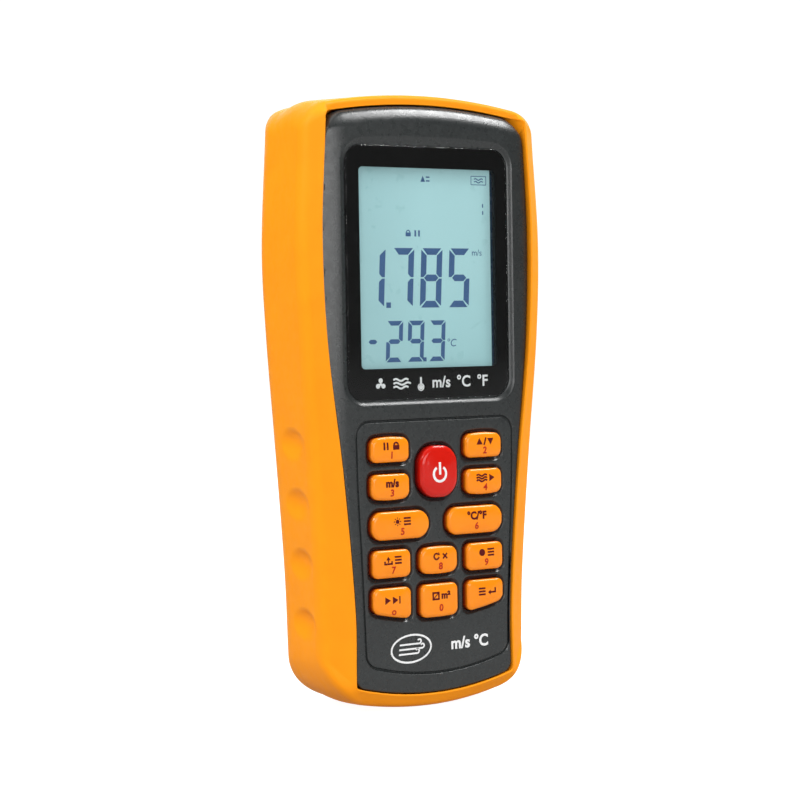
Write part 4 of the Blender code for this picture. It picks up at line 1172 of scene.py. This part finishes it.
def icons():
    """Each key's pictogram, about 2.4 mm high round (0, 0), in place of a word."""
    thin = 0.52
    up = polygon((-1.1, -0.9), (1.1, -0.9), (0.0, 1.1))
    down = polygon((-1.1, 0.9), (0.0, -1.1), (1.1, 0.9))
    right = polygon((-0.9, -1.1), (1.0, 0.0), (-0.9, 1.1))
    slash = stroke([(-0.4, -1.1), (0.4, 1.1)], thin)
    lines = [bar(-1.2, h - thin / 2, 1.2, h + thin / 2)[0] for h in (-0.9, 0.0, 0.9)]
    lock = bar(-1.1, -1.1, 1.1, 0.25) + stroke(arc(0.0, 0.25, 0.72, 0, 180, 12), thin)
    pause = bar(-0.85, -1.1, -0.25, 1.1) + bar(0.25, -1.1, 0.85, 1.1)
    flow = [quad for h in (-0.8, 0.0, 0.8) for quad in wave(-1.9, 1.9, h, 0.25, thin)]
    sun = disc(0.0, 0.0, 0.62)
    for i in range(8):
        x, h = math.cos(math.pi / 4 * i), math.sin(math.pi / 4 * i)
        sun += stroke([(0.85 * x, 0.85 * h), (1.25 * x, 1.25 * h)], 0.3)
    turn = stroke(arc(0.0, 0.0, 0.85, 60, 350, 20), thin)
    turn += polygon((0.25, 0.35), (1.25, 0.35), (0.85, 1.25))
    cross = stroke([(-0.75, -0.75), (0.75, 0.75)], thin)
    cross += stroke([(-0.75, 0.75), (0.75, -0.75)], thin)
    tray = stroke([(-1.2, -0.2), (-1.2, -1.0), (1.2, -1.0), (1.2, -0.2)], thin)
    tray += polygon((-0.7, 0.1), (0.7, 0.1), (0.0, 1.2)) + bar(-0.2, -0.6, 0.2, 0.3)
    square = stroke([(-1.0, -0.95), (1.0, -0.95), (1.0, 0.95), (-1.0, 0.95)], thin, True)
    square += stroke([(-0.95, -0.9), (0.95, 0.9)], 0.3)
    back = stroke([(1.3, 0.9), (1.3, -0.4), (-0.5, -0.4)], thin)
    back += polygon((-1.4, -0.4), (-0.4, 0.35), (-0.4, -1.15))
    return {
        "hold_key": side_by_side((pause, -2.0), (lock, 1.5)),
        "max_min_key": side_by_side((up, -2.0), (slash, 0.0), (down, 2.0)),
        "unit_key": words("m/s", 3.1, 0.0, 0.0, 0.05),
        "flow_key": side_by_side((flow, -1.3), (right, 2.3)),
        "light_key": side_by_side((sun, -1.8), (lines, 1.6)),
        "degree_key": words("°C/°F", 3.1, 0.0, 0.0, 0.05),
        "read_key": side_by_side((tray, -1.8), (lines, 1.6)),
        "clear_key": side_by_side((turn, -1.5), (cross, 1.5)),
        "record_key": side_by_side((disc(0.0, 0.0, 1.05), -1.6), (lines, 1.6)),
        "start_key": side_by_side((right, -2.2), (right, 0.4)) + bar(1.7, -1.1, 2.15, 1.1),
        "area_key": side_by_side((square, -1.9)) + words("m²", 2.9, 1.6, 0.0, 0.05),
        "enter_key": side_by_side((lines, -1.8), (back, 1.7)),
    }


def print_keys():
    """A pictogram on each key, and below it a digit, or a ring on the start key."""
    shapes = icons()
    for key in KEYS:
        if key.name == "power_key":
            print_power(key)
            continue
        x, height = key.x + 0.3, key.high - key.low
        icon = moved(shapes[key.name], x, key.low + 0.64 * height)
        put_print(f"icon_{key.name}", icon, MAROON_LOOK, key.name, surface=key.surface)
        place = key.low + 0.27 * height
        if key.name in KEY_DIGITS:
            mark = words(KEY_DIGITS[key.name], 2.8, x, place, 0.03)
        elif key.name == "start_key":
            mark = loop(x, place, 0.55, 0.4)
        else:
            continue
        put_print(f"digit_{key.name}", mark, PALE_RED_LOOK, key.name, surface=key.surface)


def print_power(key):
    """The usual ring and stem."""
    x, height, width, half_gap = key.x - 0.2, key.middle - 0.7, 0.75, 32
    shapes = stroke(arc(x, height, 2.15, 90 + half_gap, 450 - half_gap, 40), width)
    shapes += stroke([(x, height - 0.2 + 0.52 * i) for i in range(8)], width)
    put_print("power_mark", shapes, WHITE_LOOK, key.name, surface=key.surface)


def print_face():
    """The pictograms on the lens's border and a plain wind emblem and units below the keys."""
    line = (LENS_BOX[0].z + WINDOW_LOW) / 2 + 0.1
    fan = disc(0.0, 0.0, 0.42)
    blade = arc(0.0, 1.05, 0.72, 0, 330, 11)
    for i in range(3):
        turn = Matrix.Rotation(2 * math.pi / 3 * i, 2)
        fan.append([turn @ Vector(p) for p in blade])
    flow = []
    for h, end in ((-1.1, 2.2), (0.0, 3.0), (1.1, 2.2)):
        flow += wave(-3.0, end, h, 0.32, 0.55)
    thermometer = disc(0.0, -1.15, 0.75) + bar(-0.3, -0.8, 0.3, 1.75)
    thermometer += stroke(arc(0.0, -1.15, 1.0, 115, 425, 20), 0.3)
    shapes = moved(fan, -17.0, line) + moved(flow, -9.6, line) + moved(thermometer, -3.0, line)
    for text, x in (("m/s", 4.2), ("°C", 12.2), ("°F", 19.0)):
        shapes += words(text, 4.6, x, line, 0.02)
    put_print("lens_marks", shapes, WHITE_LOOK, "meter", LENS_BACK + 0.05, thickness=0.08)
    height = 18.0
    shapes = loop(0.0, 0.0, 6.9, 0.55, 0.58, 56)
    for h, reach in ((1.3, 3.4), (-0.1, 4.6), (-1.5, 3.0)):
        curl = [(-4.2, h), (reach - 0.8, h)] + arc(reach - 0.8, h + 0.62, 0.62, -90, 150, 14)
        shapes += stroke(curl, 0.5)
    put_print("emblem", moved(shapes, -8.6, height, 1.0, 0.12), WHITE_LOOK, "meter")
    put_print("units", words("m/s °C", 4.8, 12.2, height, 0.03), WHITE_LOOK, "meter")


# Display


def make_lens():
    """The clear lens and the black border that is printed on its back."""
    rings = [ring(moat_outline(-0.1), LENS_BACK), ring(moat_outline(0.0), LENS_BACK - 0.1)]
    rings += [ring(moat_outline(-LENS_SOFT * drawn), LENS_FRONT + LENS_SOFT * (1 - up))
              for drawn, up in quarter(5)]
    bm = bmesh.new()
    loft(bm, rings)
    lens = put("lens", bm, LENS_LOOK, "meter", ("display_lens",), "lens", 50)
    even_out(lens)
    bm = bmesh.new()
    window, border = window_outline(1.3, 0.0), moat_outline(-0.12)
    front, back = LENS_BACK + 0.08, LENS_BACK + 0.55
    rows = [ring(border, front), ring(window, front), ring(window, back), ring(border, back)]
    add_rows(bm, rows + rows[:1])
    bmesh.ops.remove_doubles(bm, verts=bm.verts, dist=1e-7)
    put("lens_border", bm, BORDER_LOOK, "meter", ("lens_gasket",), "lens_border")


def segments(name, size, width, thick):
    """The lit segments of one seven-segment figure, from (0, 0) up and to the right."""
    gap = 0.11 * thick
    half, middle = thick / 2, size / 2

    def level(outer, inner):
        a, b = gap, width - gap
        cut_in = abs(outer - inner)
        return polygon((a + 0.25 * half, outer), (b - 0.25 * half, outer), (b - cut_in, inner),
                       (a + cut_in, inner))

    def upright(outer, inner, far, near):
        """far is the figure's own end and near its middle."""
        away = math.copysign(1.0, far - near)
        return polygon((outer, far - away * (gap + 0.25 * half)),
                       (inner, far - away * (gap + thick)), (inner, near + away * (gap + half)),
                       ((outer + inner) / 2, near + away * gap), (outer, near + away * gap))

    found = {
        "a": level(size, size - thick),
        "d": level(0.0, thick),
        "g": polygon((half + gap, middle), (thick + gap, middle + half),
                     (width - thick - gap, middle + half), (width - half - gap, middle),
                     (width - thick - gap, middle - half), (thick + gap, middle - half)),
        "f": upright(0.0, thick, size, middle),
        "b": upright(width, width - thick, size, middle),
        "e": upright(0.0, thick, 0.0, middle),
        "c": upright(width, width - thick, 0.0, middle),
    }
    return [corners for letter in LIT_SEGMENTS[name] for corners in found[letter]]


def figures(text, size, width, thick, pitch, x, height):
    """A row of leaning seven-segment figures, the first of them with its foot at (x, height)."""
    shapes = []
    for i, figure in enumerate(text):
        lit = segments(figure, size, width, thick)
        shapes += moved(lit, x + pitch * i, height, 1.0, FIGURE_SLANT)
    return shapes


def make_lcd():
    """The display: a margin, the view with its painted glow, two rows of figures and the small marks
    round them.
    """
    low, high = LCD_BOX
    bm = bmesh.new()
    margin = partial(box_outline, high.x + 0.5, low.z, high.z, 0.8, steps=(2, 4, 2))
    add_pill(bm, margin, high.y - FRONT_Y, LCD_FRONT + 0.15, 0.2)
    put("lcd_glass", bm, MARGIN_LOOK, "meter", ("lcd_panel",), "lcd_glass")
    bm = bmesh.new()
    view = partial(box_outline, LCD_VIEW_HALF_WIDTH, low.z + 1.2, high.z - 1.2, 0.6,
                   steps=(2, 4, 2))
    add_pill(bm, view, LCD_FRONT + 0.3, LCD_FRONT, 0.08)
    put("lcd_view", bm, LCD_GLOW_LOOK, "meter", (), "lcd_glass")
    base = 117.4
    shapes = figures("1785", 17.4, 7.5, 1.95, 10.0, -21.7, base)
    shapes += bar(-13.4, base, -11.8, base + 1.6)
    base, size = 101.6, 12.0
    middle = base + size / 2
    shapes += figures("293", size, 5.7, 1.35, 7.5, -13.9, base)
    shapes += bar(-0.8, base, 0.4, base + 1.2)
    shapes += polygon((-19.7, middle), (-19.0, middle + 0.65), (-17.4, middle + 0.65),
                      (-16.7, middle), (-17.4, middle - 0.65), (-19.0, middle - 0.65))
    put_print("lcd_figures", shapes, SEGMENT_LOOK, "meter", LCD_FRONT, thickness=0.04)
    shapes = words("°C", 3.2, 9.3, middle - 0.8, 0.0, 0.15) + words("m/s", 2.6, 19.0, 133.5)
    shapes += moved(polygon((-0.8, -0.9), (0.8, -0.9), (0.0, 0.9)), 0.0, 155.1)
    shapes += bar(1.1, 154.3, 2.4, 154.7) + bar(1.1, 155.4, 2.4, 155.8)
    box = [(-2.7, -1.25), (2.7, -1.25), (2.7, 1.25), (-2.7, 1.25)]
    flow = wave(-1.6, 1.6, 0.35, 0.22, 0.3) + wave(-1.6, 1.6, -0.45, 0.22, 0.3)
    shapes += moved(flow + stroke(box, 0.2, True), 20.0, 155.0)
    lock = bar(-0.9, -0.9, 0.9, 0.25) + stroke(arc(0.0, 0.25, 0.6, 0, 180, 12), 0.32)
    shapes += moved(lock, -5.4, 139.1)
    for x, height, end, top in ((-3.2, 138.2, -2.6, 140.0), (-1.9, 138.2, -1.3, 140.0),
                                (21.2, 147.0, 21.6, 148.1), (21.2, 144.9, 21.6, 146.0)):
        shapes += bar(x, height, end, top)
    put_print("lcd_marks", shapes, SEGMENT_LOOK, "meter", LCD_FRONT, thickness=0.04)


# Sockets, insert and screws


def make_sensor_socket():
    """The sensor's round socket: a cup with four pins on its floor."""
    low, high = SENSOR_BOX
    middle, radius = middle_of(SENSOR_BOX), radius_of(SENSOR_BOX)
    bore, floor, tip, soft = 4.2, 168.5, 171.5, 0.35

    def upright(a, b, along):
        return Vector((middle.x + a, middle.y + b, along)) * MM

    profile = [(0, low.z), (radius, low.z), (radius, high.z - soft)]
    profile += [(radius - soft * drawn, high.z - soft * (1 - up)) for drawn, up in quarter(4, 1)]
    profile += [(bore + 0.5, high.z), (bore, high.z - 0.5), (bore, floor + 5.0),
                (bore - 0.25, floor + 4.8), (bore - 0.25, floor), (0, floor)]
    bm = bmesh.new()
    turned(bm, profile, upright)
    put("sensor_cup", bm, BLACK_LOOK, "meter", ("sensor_socket",), "black_plastic")
    bm = bmesh.new()
    pin = [(0, floor - 0.5), (0.45, floor - 0.5), (0.45, tip - 0.4), (0.3, tip - 0.1), (0, tip)]
    for i in range(4):
        turn = math.pi / 2 * (i + 0.5)
        x, y = 2.3 * math.cos(turn), 2.3 * math.sin(turn)
        turned(bm, pin, lambda a, b, along, x=x, y=y: upright(a + x, b + y, along), 16)
    put("sensor_pins", bm, GOLD_LOOK, "meter")


def make_usb_socket():
    """A steel shell, with a tongue and five contacts inside it."""
    low, high = USB_BOX
    middle = middle_of(USB_BOX)
    depth, steel = middle.y - FRONT_Y, 0.35
    shell = partial(box_outline, (high.y - low.y) / 2, low.z, high.z, 1.0, steps=(3, 8, 4))
    bm = bmesh.new()
    loft(bm, [sideways(shell(grow), x, depth) for grow, x in (
        (0.0, low.x), (0.0, high.x - 0.1), (-0.1, high.x), (-steel + 0.1, high.x),
        (-steel, high.x - 0.1), (-steel, low.x + 2.0))])
    put("usb_shell", bm, BARE_LOOK, "meter", ("usb_socket",), "bare_metal")
    bm = bmesh.new()
    tongue = box_outline(0.5, middle.z - 2.4, middle.z + 2.4, 0.2, steps=(1, 3, 1))
    loft(bm, [sideways(tongue, x, depth) for x in (low.x + 1.8, high.x - 1.2)])
    put("usb_tongue", bm, BLACK_LOOK, "meter", (), "black_plastic")
    bm = bmesh.new()
    for i in range(5):
        height = middle.z - 1.8 + 0.9 * i
        contact = box_outline(0.62, height - 0.22, height + 0.22, 0.1, steps=(1, 2, 1))
        loft(bm, [sideways(contact, x, depth) for x in (low.x + 2.4, high.x - 1.6)])
    put("usb_contacts", bm, GOLD_LOOK, "meter")


def make_insert():
    """A brass bush with a threaded bore."""
    middle, radius = middle_of(INSERT_BOX), radius_of(INSERT_BOX)
    start, back = (corner.y - FRONT_Y for corner in INSERT_BOX)
    bore, thread, pitch = 3.0, 0.28, 1.27
    profile = [(0, start + 1.0), (bore, start + 1.0)]
    for i in range(int((back - start - 1.8) / pitch)):
        along = start + 1.2 + pitch * i
        profile += [(bore, along), (bore + thread, along + pitch / 2)]
    profile += [(bore, back - 0.6), (bore + 0.45, back), (radius - 0.25, back),
                (radius, back - 0.25), (radius, start), (0, start)]
    bm = bmesh.new()
    turned(bm, profile, lambda a, b, along: at(middle.x + a, along, middle.z + b), 64)
    put("tripod_bush", bm, BRASS_LOOK, "meter", ("tripod_insert",), "brass", 30)


def make_screws():
    """The case's four screws: domed heads with a cross recess."""
    arm, blade = 1.65, 0.38
    for name in CASE_SCREWS:
        low, high = span(name)
        middle = middle_of((low, high))
        start, end = low.y - FRONT_Y, high.y - FRONT_Y
        seat = end - SCREW_HEAD_HEIGHT
        profile = [(0, start), (0.7, start + 0.2), (1.4, start + 1.4), (1.4, seat),
                   (SCREW_HEAD_RADIUS - 0.1, seat), (SCREW_HEAD_RADIUS, seat + 0.15)]
        for i in range(1, 9):
            turn = math.pi / 2 * i / 8
            radius = SCREW_HEAD_RADIUS * math.cos(turn) ** 0.7 if i < 8 else 0
            profile.append((radius, seat + 0.5 + (SCREW_HEAD_HEIGHT - 0.5) * math.sin(turn)))
        bm = bmesh.new()
        turned(bm, profile, lambda a, b, along: at(middle.x + a, along, middle.z + b), 32)
        screw = put(f"fine_{name}", bm, STEEL_LOOK, "meter", (name,), "screw_steel", 35)
        recess = []
        for turn in range(4):
            spin = Matrix.Rotation(math.pi / 2 * turn + 0.4, 2)
            recess += [Vector((middle.x, middle.z)) + spin @ Vector(corner)
                       for corner in ((arm, blade), (blade, blade), (blade, arm))]
        bm = bmesh.new()
        add_prism(bm, recess, end - 1.2, end + CUT_PAST)
        cut(screw, "recess", bm, STEEL_LOOK)


# Finishes for the CAD nodes that stay


def dress_nodes():
    """Gives every CAD node that still shows a procedural finish of its kind."""
    looks = {
        "main_board": plastic("board_green", (0.012, 0.12, 0.045), (0.25, 0.4), 0.15, 0.6, 0.2),
        "battery": plastic("battery_wrap", (0.02, 0.02, 0.024), (0.2, 0.35), 0.1, 0.8, 0.05),
        "battery_lead_red": plastic("lead_red", (0.5, 0.01, 0.01), (0.35, 0.5), 0.05, 0.3, 0.1),
        "battery_lead_black": BLACK_LOOK,
        "battery_snap": BLACK_LOOK,
        "door_pad": plastic("foam", (0.03, 0.03, 0.032), (0.85, 0.95), 0.2, 0.4, 0.9),
        "keypad_mat": plastic("silicone", (0.35, 0.35, 0.33), (0.55, 0.7), 0.05, 0.4, 0.1),
        "lcd_holder": plastic("light_guide", (0.55, 0.55, 0.53), (0.3, 0.45), 0.04, 0.4, 0.1),
        "lcd_backlight": plastic("backlight", (0.7, 0.75, 0.75), (0.3, 0.4), 0.03, 0.4, 0.05),
        "zebra_strip": plastic("zebra", (0.15, 0.08, 0.07), (0.5, 0.7), 0.2, 0.2, 0.3),
        "processor": BLACK_LOOK,
        "buzzer": BLACK_LOOK,
        "capacitor": BARE_LOOK,
    }
    for name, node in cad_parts.items():
        look = looks.get(name) or (STEEL_LOOK if "screw" in name else None)
        if look:
            node.data.materials.clear()
            node.data.materials.append(look)


# Studio


def add_lamp(name, place, size, power):
    """A white rectangular lamp that looks at the meter's middle."""
    data = bpy.data.lights.new(name, "AREA")
    data.shape = "RECTANGLE"
    data.size, data.size_y = size
    data.energy = power
    light = bpy.data.objects.new(name, data)
    light.location = place
    light.rotation_euler = (Vector(LAMP_AIM) - Vector(place)).to_track_quat("-Z", "Y").to_euler()
    bpy.context.scene.collection.objects.link(light)


def make_studio():
    """A white floor, a world that is white only to the camera, and the lamps."""
    bpy.ops.mesh.primitive_plane_add(size=8.0, location=(0.0, 0.0, 0.0))
    floor = bpy.context.object
    floor.name = "floor"
    white = (1.0, 1.0, 1.0, 1.0)
    look = Look("floor_white")
    seen = look.remap(look.add("LightPath").outputs["Is Camera Ray"], 0.0, 1.0, 0.2, 0.95)
    look.set(base_color=look.mottled((0.3, 0.3, 0.3), 0.01, 80.0), roughness=0.9,
             emission_color=white, emission_strength=seen)
    floor.data.materials.append(look.material)
    world = bpy.data.worlds.new("studio")
    world.use_nodes = True
    tree = Tree(world.node_tree)
    seen = tree.nodes["Background"]
    tree.feed(seen.inputs["Color"], white)
    tree.feed(seen.inputs["Strength"], WORLD_SEEN)
    direction = tree.add("TexCoord").outputs["Generated"]
    parts = tree.add("SeparateXYZ", {0: direction}).outputs
    above = tree.remap(parts["Z"], 0.35, 0.8, 0.0, WORLD_ABOVE)
    left = tree.remap(parts["X"], 0.1, -0.8, WORLD_LOW, WORLD_LEFT)
    total = tree.add("Math", {0: above, 1: left}).outputs[0]
    around = tree.add("Background", {"Strength": total})
    camera_ray = tree.add("LightPath").outputs["Is Camera Ray"]
    tree.mix_shaders(camera_ray, around, seen, "World Output")
    bpy.context.scene.world = world
    bpy.context.scene.view_settings.view_transform = "Standard"
    for name, settings in LAMPS.items():
        add_lamp(name, *settings)


def make_camera():
    """Stands to the front left, slightly above the middle, with the meter filling the frame."""
    data = bpy.data.cameras.new("camera")
    data.sensor_width = 36.0
    data.lens = 95.5
    camera = bpy.data.objects.new("camera", data)
    right = Vector((0.83569, -0.54897, -0.01579))
    up = Vector((0.03249, 0.02071, 0.99926))
    forward = right.cross(up) * -1
    matrix = Matrix((right, up, -forward)).transposed().to_4x4()
    matrix.translation = Vector((-0.34842, -0.53173, 0.11229))
    camera.matrix_world = matrix
    bpy.context.scene.collection.objects.link(camera)
    bpy.context.scene.camera = camera


make_shell()
make_bay()
make_door()
make_face()
for cap in KEYS:
    make_key(cap)
make_lens()
make_lcd()
print_keys()
print_face()
make_sensor_socket()
make_usb_socket()
make_insert()
make_screws()
dress_nodes()
make_studio()
make_camera()
